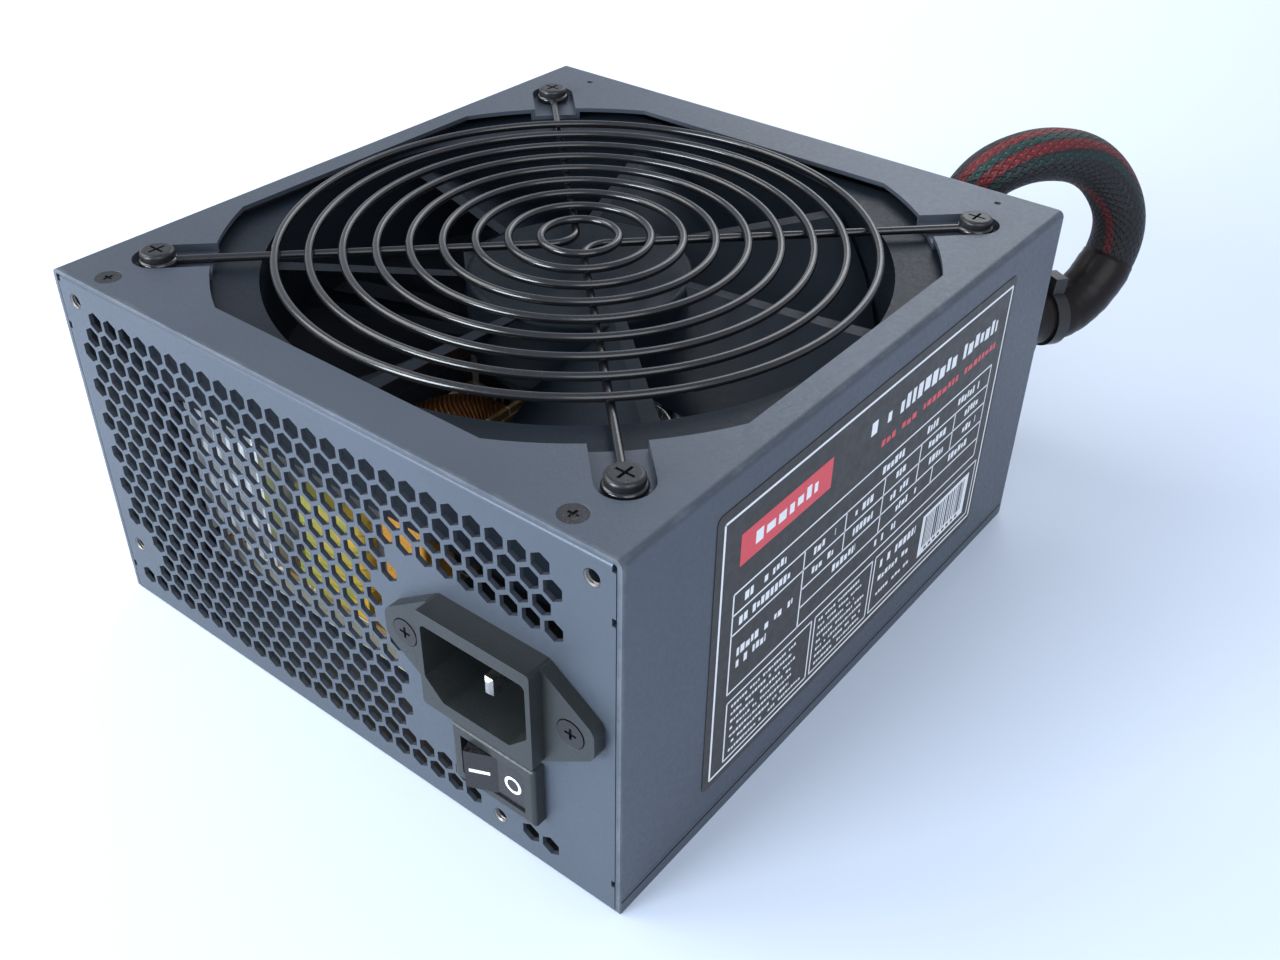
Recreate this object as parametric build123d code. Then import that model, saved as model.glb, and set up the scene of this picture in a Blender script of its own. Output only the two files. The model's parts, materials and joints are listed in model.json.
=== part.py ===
from build123d import *
import os
from math import atan2, degrees, pi, radians, sqrt, tan

# ATX power supply unit, 150 x 160 x 86 mm, fan face up.
# Frame: millimetres, +Z up, origin at the bottom centre of the case.
# The mains panel faces -Y, the cable panel faces +Y, the rating label faces +X.

# ---- case ----
WIDTH, DEPTH, HEIGHT = 150.0, 160.0, 86.0
SHEET = 1.0                      # sheet steel thickness
HALF_W, HALF_D = WIDTH / 2, DEPTH / 2
SEAM_Z = 4.3                     # top of the tray's outer lip on each side
GAP = 0.1                        # slip gap between cover and tray
PANEL_HALF = HALF_W - SHEET - 0.2   # half width of the two end panels
PANEL_TOP = HEIGHT - SHEET - GAP
FLANGE = 8.4                     # depth of the flanges turned in from the panels
BEND_R = 1.6                     # outside radius of the cover's long bends

# ---- fan, grill and fan opening ----
FAN_Y = -1.2                     # fan axis, behind the middle of the case
FAN_SIZE, FAN_THICK = 140.0, 25.0
TAB_DROP = 1.8                   # corner tabs sit this far below the cover face
FAN_TOP = HEIGHT - TAB_DROP - SHEET
FAN_BASE = FAN_TOP - FAN_THICK
FAN_HOLE = 62.25                 # half of the fan's screw spacing
FAN_BORE_R = 67.5
OPENING_R = 77.0                 # fan opening: a circle cut off by a square
OPENING_HALF = 68.3
TAB_R = 5.3
WIRE_R = 0.9
RING_FIRST, RING_PITCH, RING_COUNT = 8.4, 6.95, 9
HUB_R, HUB_WALL = 25.0, 2.5
BLADE_COUNT = 7
BLADE_TIP_R = 66.3
ROTOR_LOW, ROTOR_TOP = FAN_BASE + 4.3, FAN_TOP - 3.8
SHAFT_R = 1.5

# ---- mains panel ----
HEX_PITCH, HEX_FLAT = 5.054, 4.1
HEX_TOP_Z = 77.1
MOUNT_HOLES = [(-69, 80), (69, 80), (-69, 16), (45, 6)]   # x, z of the case screws
MOUNT_R = 1.75
INLET_X, INLET_Z = 46.4, 45.8
EAR_PITCH = 40.0
SWITCH_X, SWITCH_Z = 46.8, 21.8
ROCKER_TILT = 12.0               # degrees each way about the middle
ROCKER_PIVOT_Y = -HALF_D + 2.5

# ---- circuit board ----
BOARD_Z, BOARD_T = 8.0, 1.6
BOARD_TOP = BOARD_Z + BOARD_T
POSTS = [(x, y) for x in (-62, 62) for y in (-44, 44)]

# ---- harness ----
HARNESS_D = 12.8
SHRINK_D = 13.7
BUSH_X, BUSH_Z = 63.5, 50.0
FLOOR_Z = 6.7                    # centre height where the harness lies on the floor
SHRINK_POINTS = 4                # route points under the heat-shrink sleeve
ROUTE = [
    (BUSH_X, HALF_D + 2, BUSH_Z), (64.3, 92.0, 49.3), (73.2, 108.2, 47.6), (77.2, 123.5, 66.4),
    (67.5, 119.5, 83.6), (56.6, 103.0, 88.3), (45.6, 93.2, 80.2), (41.0, 95.6, 57.5),
    (36.0, 102.0, 33.0), (22.0, 107.0, 13.0), (1.0, 107.5, FLOOR_Z), (-26.0, 105.0, FLOOR_Z),
    (-54.0, 107.0, FLOOR_Z), (-79.0, 117.0, FLOOR_Z), (-91.0, 139.0, FLOOR_Z),
    (-80.0, 160.0, FLOOR_Z), (-56.0, 165.5, FLOOR_Z), (-32.0, 165.5, FLOOR_Z),
]
FAN_OUT = 34.0                   # stretch where the wires spread into the connector
PIN_PITCH, PIN_COLUMNS = 4.2, 12
PLUG_LENGTH, PLUG_HEIGHT = 22.0, 9.6


def block(x0, x1, y0, y1, z0, z1):
    """Box between two corners."""
    centre = Pos((x0 + x1) / 2, (y0 + y1) / 2, (z0 + z1) / 2)
    return centre * Box(x1 - x0, y1 - y0, z1 - z0)


def post(x, y, z0, z1, r):
    """Upright cylinder."""
    return Pos(x, y, (z0 + z1) / 2) * Cylinder(r, z1 - z0)


def rod_y(x, z, y0, y1, r):
    """Cylinder along Y."""
    return Pos(x, (y0 + y1) / 2, z) * Rot(90, 0, 0) * Cylinder(r, y1 - y0)


def group(shapes):
    """Separate solids kept together in one node."""
    solids = []
    for shape in shapes:
        solids += shape.solids()
    return Compound(children=solids)


def prism_y(points, y0, y1):
    """Prism along Y from an outline of (x, z) points."""
    face = make_face(Polyline(*[(x, y0, z) for x, z in points], close=True))
    return extrude(face, y1 - y0, dir=(0, 1, 0))


def prism_z(points, z0, z1):
    """Prism along Z from an outline of (x, y) points."""
    face = make_face(Polyline(*[(x, y, z0) for x, y in points], close=True))
    return extrude(face, z1 - z0, dir=(0, 0, 1))


def corners():
    """Fan screw centres."""
    return [(sx * FAN_HOLE, FAN_Y + sy * FAN_HOLE) for sx in (-1, 1) for sy in (-1, 1)]


# ---- honeycomb of the mains panel ----
def vent_is_clear(x, z):
    """True where the panel is punched, False in its solid zones."""
    for hx, hz in MOUNT_HOLES:
        if (x - hx) ** 2 + (z - hz) ** 2 < 5.9 ** 2:
            return False
    around_inlet = x > 22.3 and 12.5 < z < 62.0 or x > 40 and 9 < z < 15
    left_ear = x > 17.5 and 38.5 < z < 53.0
    return not (around_inlet or left_ear or x > 61.6)


def vent_centres():
    rise = HEX_PITCH * sqrt(3) / 2
    found = []
    for row in range(17):
        z = HEX_TOP_Z - row * rise
        shift = 0.0 if row % 2 == 0 else HEX_PITCH / 2
        for column in range(-14, 13):
            x = 2.55 + column * HEX_PITCH + shift
            if -69.0 < x and vent_is_clear(x, z):
                found.append((x, z))
    return found


def vents():
    """One hexagonal cutter for each vent hole."""
    plane = Plane(origin=(0, -HALF_D - 1, 0), x_dir=(1, 0, 0), z_dir=(0, -1, 0))
    cutter = extrude(plane * RegularPolygon(HEX_FLAT / sqrt(3), 6, rotation=30), -(SHEET + 2))
    return [Pos(x, 0, z) * cutter for x, z in vent_centres()]


# ---- sheet metal ----
def end_panel(sign):
    """One upright end of the tray with its turned-in flanges."""
    y_out, y_in = sign * HALF_D, sign * (HALF_D - SHEET)
    y_flange = sign * (HALF_D - FLANGE)
    low, high = sorted((y_out, y_in))
    near, far = sorted((y_out, y_flange))
    panel = block(-PANEL_HALF, PANEL_HALF, low, high, 0, PANEL_TOP)
    panel += block(-68, 68, near, far, PANEL_TOP - 0.9, PANEL_TOP)
    for side in (-1, 1):
        x0, x1 = sorted((side * (PANEL_HALF - 0.9), side * PANEL_HALF))
        panel += block(x0, x1, near, far, 16, 82)
    return panel


def base_tray():
    tray = block(-HALF_W, HALF_W, -HALF_D, HALF_D, 0, SHEET)
    for side in (-1, 1):
        outer = sorted((side * (HALF_W - SHEET), side * HALF_W))
        inner = sorted((side * (HALF_W - 2 * SHEET - GAP), side * (HALF_W - SHEET - GAP)))
        step = sorted((inner[0], inner[1], outer[0], outer[1]))
        tray += block(outer[0], outer[1], -HALF_D, HALF_D, 0, SEAM_Z - GAP)
        tray += block(inner[0], inner[1], -HALF_D + FLANGE + 1, HALF_D - FLANGE - 1, SEAM_Z - 1.1, 13)
        tray += block(step[0], step[3], -HALF_D + FLANGE + 1, HALF_D - FLANGE - 1,
                      SEAM_Z - 1.1, SEAM_Z - GAP)
    tray += end_panel(-1)
    tray += end_panel(1)
    folds = [e for e in tray.edges().filter_by(Axis.X)
             if abs(abs(e.center().Y) - HALF_D) < 0.01 and e.length > 100
             and (e.center().Z < 0.01 or e.center().Z > PANEL_TOP - 0.01)]
    tray = fillet(folds, 0.8)
    for x, z in MOUNT_HOLES:
        tray += rod_y(x, z, -HALF_D + SHEET - 0.2, -HALF_D + 2.6, 2.6)
        tray -= rod_y(x, z, -HALF_D - 1, -HALF_D + 4, MOUNT_R)
    # relief notches at the panel's edges
    for side in (-1, 1):
        for z in (8, 73, PANEL_TOP - 0.8):
            x0, x1 = sorted((side * (PANEL_HALF - 0.8), side * (PANEL_HALF + 1)))
            tray -= block(x0, x1, -HALF_D - 1, -HALF_D + SHEET, z - 0.8, z + 0.9)
    tray -= block(INLET_X - 13.6, INLET_X + 13.6, -HALF_D - 1, -HALF_D + 2, INLET_Z - 10.2, INLET_Z + 10.2)
    tray -= block(SWITCH_X - 9.4, SWITCH_X + 9.4, -HALF_D - 1, -HALF_D + 2, SWITCH_Z - 6.4, SWITCH_Z + 6.4)
    for side in (-1, 1):
        tray -= rod_y(INLET_X + side * EAR_PITCH / 2, INLET_Z, -HALF_D - 1, -HALF_D + 2, 1.6)
    tray -= rod_y(BUSH_X, BUSH_Z, HALF_D - 2, HALF_D + 1, 9.05)
    for x, y in cover_screw_places():
        tray -= post(x, y, PANEL_TOP - 3, PANEL_TOP + 1, 1.35)
    for x, y in POSTS:
        tray -= post(x, y, -1, SHEET + 1, 1.5)
    for column in range(6):
        x = -62 + column * 7
        tray -= block(x, x + 3, HALF_D - 2, HALF_D + 1, 18, 46)
    return tray - vents()


def cover_screw_places():
    return [(-62.3, -75.3), (61.3, -75.3)]


def tongue(radius, z0, z1):
    """Slot shapes that run from the fan opening out to each fan screw."""
    shapes = []
    for x, y in corners():
        angle = degrees(atan2(y - FAN_Y, x))
        reach = FAN_HOLE * sqrt(2)
        bar = Pos(0, FAN_Y, (z0 + z1) / 2) * Rot(0, 0, angle)
        arm = Pos((reach + 70) / 2, 0, 0) * Box(reach - 70, 2 * radius, z1 - z0)
        shapes.append(bar * arm + post(x, y, z0, z1, radius))
    return shapes


def fan_opening(z0, z1):
    circle = post(0, FAN_Y, z0, z1, OPENING_R)
    square = block(-OPENING_HALF, OPENING_HALF, FAN_Y - OPENING_HALF, FAN_Y + OPENING_HALF, z0, z1)
    return circle & square


def cover():
    shell = block(-HALF_W, HALF_W, -HALF_D, HALF_D, SEAM_Z, HEIGHT)
    long_edges = [e for e in shell.edges().filter_by(Axis.Y) if e.center().Z > HEIGHT - 0.01]
    shell = fillet(long_edges, BEND_R)
    inside = block(-HALF_W + SHEET, HALF_W - SHEET, -HALF_D - 1, HALF_D + 1, 0, HEIGHT - SHEET)
    inner_edges = [e for e in inside.edges().filter_by(Axis.Y) if e.center().Z > HEIGHT - SHEET - 0.01]
    shell -= fillet(inner_edges, BEND_R - SHEET)
    opening = fan_opening(0, HEIGHT + 1)
    cups = tongue(TAB_R + SHEET, FAN_TOP, HEIGHT)
    for cup in cups:
        shell += cup
    shell -= opening
    for cup in tongue(TAB_R, FAN_TOP + SHEET, HEIGHT + 1):
        shell -= cup
    for x, y in corners():
        shell -= post(x, y, FAN_TOP - 1, HEIGHT, 2.5)
    for x, y in cover_screw_places():
        shell -= post(x, y, HEIGHT - SHEET - 1, HEIGHT + 1, 1.6)
        shell -= Pos(x, y, HEIGHT - 0.45) * Cone(1.6, 2.9, 1.1)
    for x in (-60.2, 61.2):
        shell -= post(x, 74.2, HEIGHT - 2, HEIGHT + 1, 0.8)
    return shell


def countersunk_screws():
    screws = []
    for x, y in cover_screw_places():
        head = Pos(x, y, HEIGHT - 0.5) * Cone(1.3, 2.7, 0.9)
        shaft = post(x, y, HEIGHT - 5, HEIGHT - 0.9, 1.3)
        screws.append(head + shaft - cross_recess(x, y, HEIGHT + 0.1, 0.55, 2.2))
    return group(screws)


def cross_recess(x, y, z, depth, width):
    """Crossed slots of a Phillips drive, cut down from z."""
    bars = Box(width, 0.6, 2 * depth) + Box(0.6, width, 2 * depth)
    return Pos(x, y, z) * bars


# ---- fan grill ----
def grill():
    ring_z = HEIGHT - TAB_DROP + 3 * WIRE_R - 0.1
    spoke_z = HEIGHT - TAB_DROP + WIRE_R + 0.02
    wires = []
    for k in range(RING_COUNT):
        wires.append(Pos(0, FAN_Y, ring_z) * Torus(RING_FIRST + RING_PITCH * k, WIRE_R))
    for side in (-1, 1):
        wires.append(spoke_pair(side, spoke_z))
    for x, y in corners():
        wires.append(Pos(x, y, spoke_z) * Torus(3.2, WIRE_R))
    body = wires[0]
    for wire in wires[1:]:
        body += wire
    return body


def spoke_pair(side, z):
    """Two spokes made of one wire, bent near the middle of the grill."""
    reach = FAN_HOLE - 3.2 / sqrt(2)
    line = FilletPolyline(
        (side * reach, FAN_Y - reach, z), (side * 0.5, FAN_Y, z), (side * reach, FAN_Y + reach, z), radius=6)
    start = Plane(origin=line @ 0, z_dir=line % 0)
    return sweep(start * Circle(WIRE_R), path=line)


def pan_screws():
    """Self-tapping fan screws, through the grill's loops into the fan frame."""
    top = HEIGHT - TAB_DROP + 2 * WIRE_R + 0.05
    screws = []
    for x, y in corners():
        head = fillet(post(x, y, top, top + 1.7, 3.6).edges().group_by(Axis.Z)[-1], 0.8)
        screw = head + post(x, y, FAN_TOP - 7, top + 0.5, 2.1)
        screws.append(screw - cross_recess(x, y, top + 1.7, 1.2, 4.0))
    return group(screws)


# ---- fan ----
def fan_frame():
    square = Pos(0, FAN_Y, FAN_BASE + FAN_THICK / 2) * Box(FAN_SIZE, FAN_SIZE, FAN_THICK)
    square = fillet(square.edges().filter_by(Axis.Z), 7)
    frame = square - post(0, FAN_Y, FAN_BASE - 1, FAN_TOP + 1, FAN_BORE_R)
    for x, y in corners():
        frame -= post(x, y, FAN_BASE - 1, FAN_TOP + 1, 2.15)
    for k in range(4):
        arm = Pos(45, 0, FAN_BASE + 1.4) * Box(48, 5, 2.8)
        frame += Pos(0, FAN_Y, 0) * Rot(0, 0, 90 * k + 20) * arm
    frame += post(0, FAN_Y, FAN_BASE, FAN_BASE + 1.8, 22)
    frame += post(0, FAN_Y, FAN_BASE, FAN_BASE + 13.5, 4.5)
    frame -= post(0, FAN_Y, FAN_BASE + 1, FAN_BASE + 14, 3.0)
    return frame


def fan_blade(angle):
    sections = []
    for radius, chord, pitch in ((17, 26, 48), (42, 42, 36), (70, 52, 27)):
        plane = Plane(origin=(radius, 0, (ROTOR_LOW + ROTOR_TOP) / 2), x_dir=(0, 1, 0), z_dir=(1, 0, 0))
        sections.append(plane * Rot(0, 0, pitch) * Rectangle(chord, 1.8))
    return Rot(0, 0, angle) * loft(sections)


def fan_rotor():
    hub = Pos(0, 0, (ROTOR_LOW + ROTOR_TOP) / 2) * Cylinder(HUB_R, ROTOR_TOP - ROTOR_LOW)
    hub = fillet(hub.edges().group_by(Axis.Z)[-1], 1.5)
    swept = post(0, 0, ROTOR_LOW, ROTOR_TOP, BLADE_TIP_R) - post(0, 0, ROTOR_LOW, ROTOR_TOP, HUB_R - 0.6)
    for k in range(BLADE_COUNT):
        hub += fan_blade(360 / BLADE_COUNT * k) & swept
    hub -= post(0, 0, ROTOR_LOW - 1, ROTOR_TOP - 2, HUB_R - HUB_WALL)
    hub += post(0, 0, FAN_BASE + 14.5, ROTOR_TOP - 1.5, 4)
    hub -= post(0, 0, 0, ROTOR_TOP - 1.2, SHAFT_R)
    return Pos(0, FAN_Y, 0) * hub


def fan_stator():
    core = post(0, 0, 5.5, 11.5, 8)
    for k in range(4):
        core += Rot(0, 0, 90 * k) * block(6, 15, -2.5, 2.5, 5.5, 11.5)
        core += Rot(0, 0, 90 * k) * (block(13, 18, -9, 9, 5.5, 11.5) & post(0, 0, 5.5, 11.5, 18))
    core -= post(0, 0, 0, 20, 4.55)
    return Pos(0, FAN_Y, FAN_BASE) * core


def stator_coils():
    coils = []
    for k in range(4):
        coil = block(8.3, 12.8, -4.6, 4.6, 4.2, 12.8) - block(8, 13, -2.55, 2.55, 5.45, 11.55)
        coils.append(Pos(0, FAN_Y, FAN_BASE) * Rot(0, 0, 90 * k) * coil)
    return group(coils)


def ring_z(r_out, r_in, z0, z1):
    return Pos(0, FAN_Y, 0) * (post(0, 0, z0, z1, r_out) - post(0, 0, z0 - 1, z1 + 1, r_in))


def fan_lead():
    """Two insulated wires from the fan frame down to the board."""
    wires = []
    for k in range(2):
        x = 63.9 + 1.6 * k
        line = FilletPolyline((x + 2.8, 18, FAN_BASE), (x + 2.8, 18, 42), (x, 23, 28), (x, 23, 18.2), radius=5)
        wires.append(sweep(Plane(origin=line @ 0, z_dir=line % 0) * Circle(0.7), path=line))
    return group(wires)


# ---- mains inlet ----
def inlet_outline():
    """Flange outline: a hexagon with round ends at the ear screws."""
    half = EAR_PITCH / 2
    return Polyline((-13.6, 11.2), (13.6, 11.2), (half + 5.2, 3.2), (half + 5.2, -3.2),
                    (13.6, -11.2), (-13.6, -11.2), (-half - 5.2, -3.2), (-half - 5.2, 3.2), close=True)


def inlet_housing():
    front = Plane(origin=(INLET_X, -HALF_D, INLET_Z), x_dir=(1, 0, 0), z_dir=(0, -1, 0))
    flange = make_face(front * inlet_outline())
    body = extrude(flange, 2.9, dir=(0, -1, 0))
    ends = [e for e in body.edges().filter_by(Axis.Y) if abs(e.center().X - INLET_X) > 15]
    body = fillet(ends, 3.0)
    x0, x1 = INLET_X - 13.5, INLET_X + 13.5
    raised = block(x0, x1, -HALF_D - 5.8, -HALF_D, INLET_Z - 11.5, INLET_Z + 11.5)
    body += fillet(raised.edges().filter_by(Axis.Y), 0.8)
    body += block(x0 + 0.2, x1 - 0.2, -HALF_D, -HALF_D + 24, INLET_Z - 10, INLET_Z + 10)
    mouth = [(-12.4, 8.5), (12.4, 8.5), (12.4, -4.2), (8.1, -8.5), (-8.1, -8.5), (-12.4, -4.2)]
    points = [(INLET_X + x, INLET_Z + z) for x, z in mouth]
    body -= fillet(prism_y(points, -HALF_D - 7, -HALF_D + 10.5).edges().filter_by(Axis.Y), 1.2)
    for side in (-1, 1):
        x = INLET_X + side * EAR_PITCH / 2
        body -= rod_y(x, INLET_Z, -HALF_D - 4, -HALF_D + 1, 1.7)
        body -= Pos(x, -HALF_D - 2.2, INLET_Z) * Rot(90, 0, 0) * Cone(1.7, 3.2, 1.5)
    for x, z in inlet_pin_places():
        body -= block(x - 1, x + 1, -HALF_D + 10, -HALF_D + 25, z - 2, z + 2)
    return body


def inlet_pin_places():
    """Line, neutral and earth blades; the earth is on the cut-cornered side."""
    return [(INLET_X - 7, INLET_Z + 2), (INLET_X + 7, INLET_Z + 2), (INLET_X, INLET_Z - 2)]


def inlet_pins():
    pins = []
    for index, (x, z) in enumerate(inlet_pin_places()):
        tip = -HALF_D - 2.4 if index == 2 else -HALF_D + 0.8
        blade = block(x - 1, x + 1, tip, -HALF_D + 24, z - 2, z + 2)
        nose = [e for e in blade.edges() if abs(e.center().Y - tip) < 0.01]
        blade = chamfer(nose, 0.6)
        pins.append(blade + block(x - 0.4, x + 0.4, -HALF_D + 24, -HALF_D + 32, z - 3, z + 3))
    return group(pins)


def inlet_screws():
    screws = []
    for side in (-1, 1):
        x = INLET_X + side * EAR_PITCH / 2
        head = Pos(x, -HALF_D - 2.35, INLET_Z) * Rot(90, 0, 0) * Cone(1.5, 2.9, 1.3)
        shaft = rod_y(x, INLET_Z, -HALF_D - 2, -HALF_D + 6, 1.5)
        slots = Box(2.6, 1.4, 0.6) + Box(0.6, 1.4, 2.6)
        screws.append(head + shaft - Pos(x, -HALF_D - 3.1, INLET_Z) * slots)
    return group(screws)


def inlet_nuts():
    nuts = []
    for side in (-1, 1):
        x = INLET_X + side * EAR_PITCH / 2
        plane = Plane(origin=(x, -HALF_D + SHEET, INLET_Z), x_dir=(1, 0, 0), z_dir=(0, 1, 0))
        nut = extrude(plane * RegularPolygon(3.2, 6), 2.4)
        nuts.append(nut - rod_y(x, INLET_Z, -HALF_D, -HALF_D + 5, 1.5))
    return group(nuts)


# ---- rocker switch ----
def switch_body():
    bezel = block(SWITCH_X - 10.4, SWITCH_X + 10.4, -HALF_D - 3, -HALF_D, SWITCH_Z - 7.5, SWITCH_Z + 7.5)
    rim = [e for e in bezel.edges() if e.center().Y < -HALF_D - 2.99]
    body = fillet(rim, 0.9)
    body += block(SWITCH_X - 9.3, SWITCH_X + 9.3, -HALF_D, -HALF_D + 16, SWITCH_Z - 6.3, SWITCH_Z + 6.3)
    body -= block(SWITCH_X - 8, SWITCH_X + 8, -HALF_D - 4, -HALF_D + 12, SWITCH_Z - 5.1, SWITCH_Z + 5.1)
    body -= post(SWITCH_X, ROCKER_PIVOT_Y, SWITCH_Z - 5.85, SWITCH_Z + 5.85, 1.05)
    return body


def switch_rocker():
    """Dished rocker, lying with its right half pressed in."""
    rise = 6.6 * tan(radians(ROCKER_TILT))
    face = 5.2
    outline = [(-6.6, -face - rise), (0, -face), (6.6, -face - rise), (7.1, -2.6), (4.5, 1.8),
               (1.6, 3.2), (-1.6, 3.2), (-4.5, 1.8), (-7.1, -2.6)]
    rocker = prism_z(outline, SWITCH_Z - 4.9, SWITCH_Z + 4.9)
    rocker += post(0, 0, SWITCH_Z - 5.75, SWITCH_Z + 5.75, 1.0)
    return Pos(SWITCH_X, ROCKER_PIVOT_Y, 0) * Rot(0, 0, ROCKER_TILT) * rocker


def switch_terminals():
    y = -HALF_D + 16
    return group([block(SWITCH_X + x - 0.4, SWITCH_X + x + 0.4, y, y + 7, SWITCH_Z - 3, SWITCH_Z + 3)
                  for x in (-5, 5)])


# ---- board and its parts ----
def circuit_board():
    board = block(-67, 67, -60, 65, BOARD_Z, BOARD_TOP)
    for x, y in POSTS:
        board -= post(x, y, BOARD_Z - 1, BOARD_TOP + 1, 1.7)
    return board


def board_posts():
    posts = []
    for x, y in POSTS:
        hexagon = Pos(x, y, SHEET) * extrude(RegularPolygon(3.2, 6), BOARD_Z - SHEET)
        posts.append(hexagon - post(x, y, SHEET + 1.5, BOARD_Z + 1, 1.5))
    return group(posts)


def board_screws():
    return group([post(x, y, SHEET + 2, BOARD_TOP + 0.5, 1.45) + post(x, y, BOARD_TOP, BOARD_TOP + 1.8, 2.9)
                  - cross_recess(x, y, BOARD_TOP + 1.8, 0.9, 2.8) for x, y in POSTS])


def insulation_sheet():
    sheet = block(-69, 69, -62, 68, 3.0, 3.3)
    for x, y in POSTS:
        sheet -= post(x, y, 2, 5, 3.6)
    return sheet


def finned_heatsink(x0, x1, y_plate, fin_side, fins, reach):
    """Upright plate with fins to one side."""
    z0, z1 = BOARD_TOP, 55.0
    sink = block(x0, x1, y_plate, y_plate + 3, z0, z1)
    pitch = (x1 - x0 - 1.6) / (fins - 1)
    for k in range(fins):
        x = x0 + k * pitch
        near = y_plate - reach if fin_side < 0 else y_plate + 2.5
        sink += block(x, x + 1.6, near, near + reach + 0.5, z0 + 3, z1)
    return sink


def transistor(x, y, facing):
    """Flat power package standing against a heatsink."""
    near, far = sorted((y, y + facing * 4.5))
    package = block(x - 5, x + 5, near, far, BOARD_TOP + 10, BOARD_TOP + 28)
    for k in (-3, 0, 3):
        package += block(x + k - 0.5, x + k + 0.5, near + 1.8, far - 1.8, BOARD_TOP, BOARD_TOP + 10)
    return package


def bridge_rectifier():
    """Flat four-legged package."""
    body = block(54, 59, -22, -2, BOARD_TOP + 4, BOARD_TOP + 21)
    for k in range(4):
        y = -19.5 + 5 * k
        body += block(56, 57, y - 0.5, y + 0.5, BOARD_TOP, BOARD_TOP + 4)
    return body


def fuse():
    """Glass fuse held by its two end caps."""
    body = rod_y(57, BOARD_TOP + 4, 6, 24, 2.4)
    for y in (4, 21):
        body += block(54, 60, y, y + 5, BOARD_TOP, BOARD_TOP + 7)
    return body


def can(x, y, radius, height):
    """Electrolytic capacitor with a rolled top edge."""
    body = post(x, y, BOARD_TOP, BOARD_TOP + height, radius)
    return fillet(body.edges().group_by(Axis.Z)[-1], 0.8)


def transformer_core(x, y, w, d, h):
    """Ferrite frame with a window on two sides for the winding."""
    core = block(x - w / 2, x + w / 2, y - d / 2, y + d / 2, BOARD_TOP + 3, BOARD_TOP + 3 + h)
    for side in (-1, 1):
        x0, x1 = sorted((x + side * w * 0.16, x + side * w * 0.36))
        core -= block(x0, x1, y - d, y + d, BOARD_TOP + 3 + h * 0.18, BOARD_TOP + 3 + h * 0.82)
    return core


def transformer_winding(x, y, w, d, h):
    """Taped winding that fills the core's windows."""
    low, high = BOARD_TOP + 3 + h * 0.18, BOARD_TOP + 3 + h * 0.82
    drum = block(x - w * 0.36, x + w * 0.36, y - d * 0.72, y + d * 0.72, low, high)
    drum = fillet(drum.edges().filter_by(Axis.Z), d * 0.18)
    drum -= block(x - w * 0.16, x + w * 0.16, y - d / 2, y + d / 2, low - 1, high + 1)
    foot = block(x - w * 0.36, x + w * 0.36, y - d * 0.72, y - d / 2, BOARD_TOP, low)
    foot += block(x - w * 0.36, x + w * 0.36, y + d / 2, y + d * 0.72, BOARD_TOP, low)
    return drum + foot


def toroid(x, y, radius, section):
    """Wound ring core lying on the board."""
    return Pos(x, y, BOARD_TOP + section) * Torus(radius, section)


def common_mode_choke():
    return toroid(42, -35, 7, 4.0)


def output_wires():
    """Two rows of three wires from the board up into the bushing."""
    wires = []
    for row in range(2):
        for column in range(3):
            x = BUSH_X + 3.6 * (column - 1)
            y = 62 - 3.6 * row
            z = BUSH_Z - 1.8 + 3.6 * row
            end = (x, HALF_D + 1.4, z)
            line = FilletPolyline((x, y, BOARD_TOP), (x, y, z), end, radius=7)
            wires.append(sweep(Plane(origin=line @ 0, z_dir=line % 0) * Circle(1.7), path=line))
    return group(wires)


def mains_wires():
    """Insulated wires from the inlet and switch tabs down to the board."""
    wires = []
    tab_y, high = -HALF_D + 32, INLET_Z + 2
    left, right = INLET_X - 7, INLET_X + 7
    switch_y = -HALF_D + 23
    runs = [
        [(left, tab_y, high), (left, tab_y + 5, high), (27, tab_y + 6, 34), (27, tab_y + 6, BOARD_TOP)],
        [(right, tab_y, high), (right, tab_y + 7, high), (SWITCH_X + 5, tab_y + 6, 28),
         (SWITCH_X + 5, switch_y + 7, SWITCH_Z), (SWITCH_X + 5, switch_y, SWITCH_Z)],
        [(SWITCH_X - 5, switch_y, SWITCH_Z), (SWITCH_X - 5, switch_y + 6, SWITCH_Z),
         (30.5, -45, 20), (30.5, -45, BOARD_TOP)],
    ]
    for run in runs:
        line = FilletPolyline(*run, radius=2.5)
        wires.append(sweep(Plane(origin=line @ 0, z_dir=line % 0) * Circle(1.3), path=line))
    return group(wires)


# ---- harness ----
def corner_radii(points):
    """Bend radius for each inner point: as large as its two runs allow."""
    radii = []
    for a, b, c in zip(points, points[1:], points[2:]):
        first, second = Vector(*b) - Vector(*a), Vector(*c) - Vector(*b)
        turn = radians(first.get_angle(second))
        radii.append(0.45 * min(first.length, second.length) / tan(turn / 2))
    return radii


def route_line(points):
    return FilletPolyline(*points, radius=corner_radii(points))


def tube(points, outer, inner=0.0):
    line = route_line(points)
    start = Plane(origin=line @ 0, z_dir=line % 0)
    solid = sweep(start * Circle(outer / 2), path=line)
    if inner:
        solid -= sweep(start * Circle(inner / 2), path=line)
    return solid, line


def harness_tube():
    solid, line = tube(ROUTE, HARNESS_D)
    section = pi * HARNESS_D ** 2 / 4
    print("harness radii", [round(r, 1) for r in corner_radii(ROUTE)])
    print("harness length %.1f, volume %.0f, section x length %.0f" % (line.length, solid.volume, section * line.length))
    return solid


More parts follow.
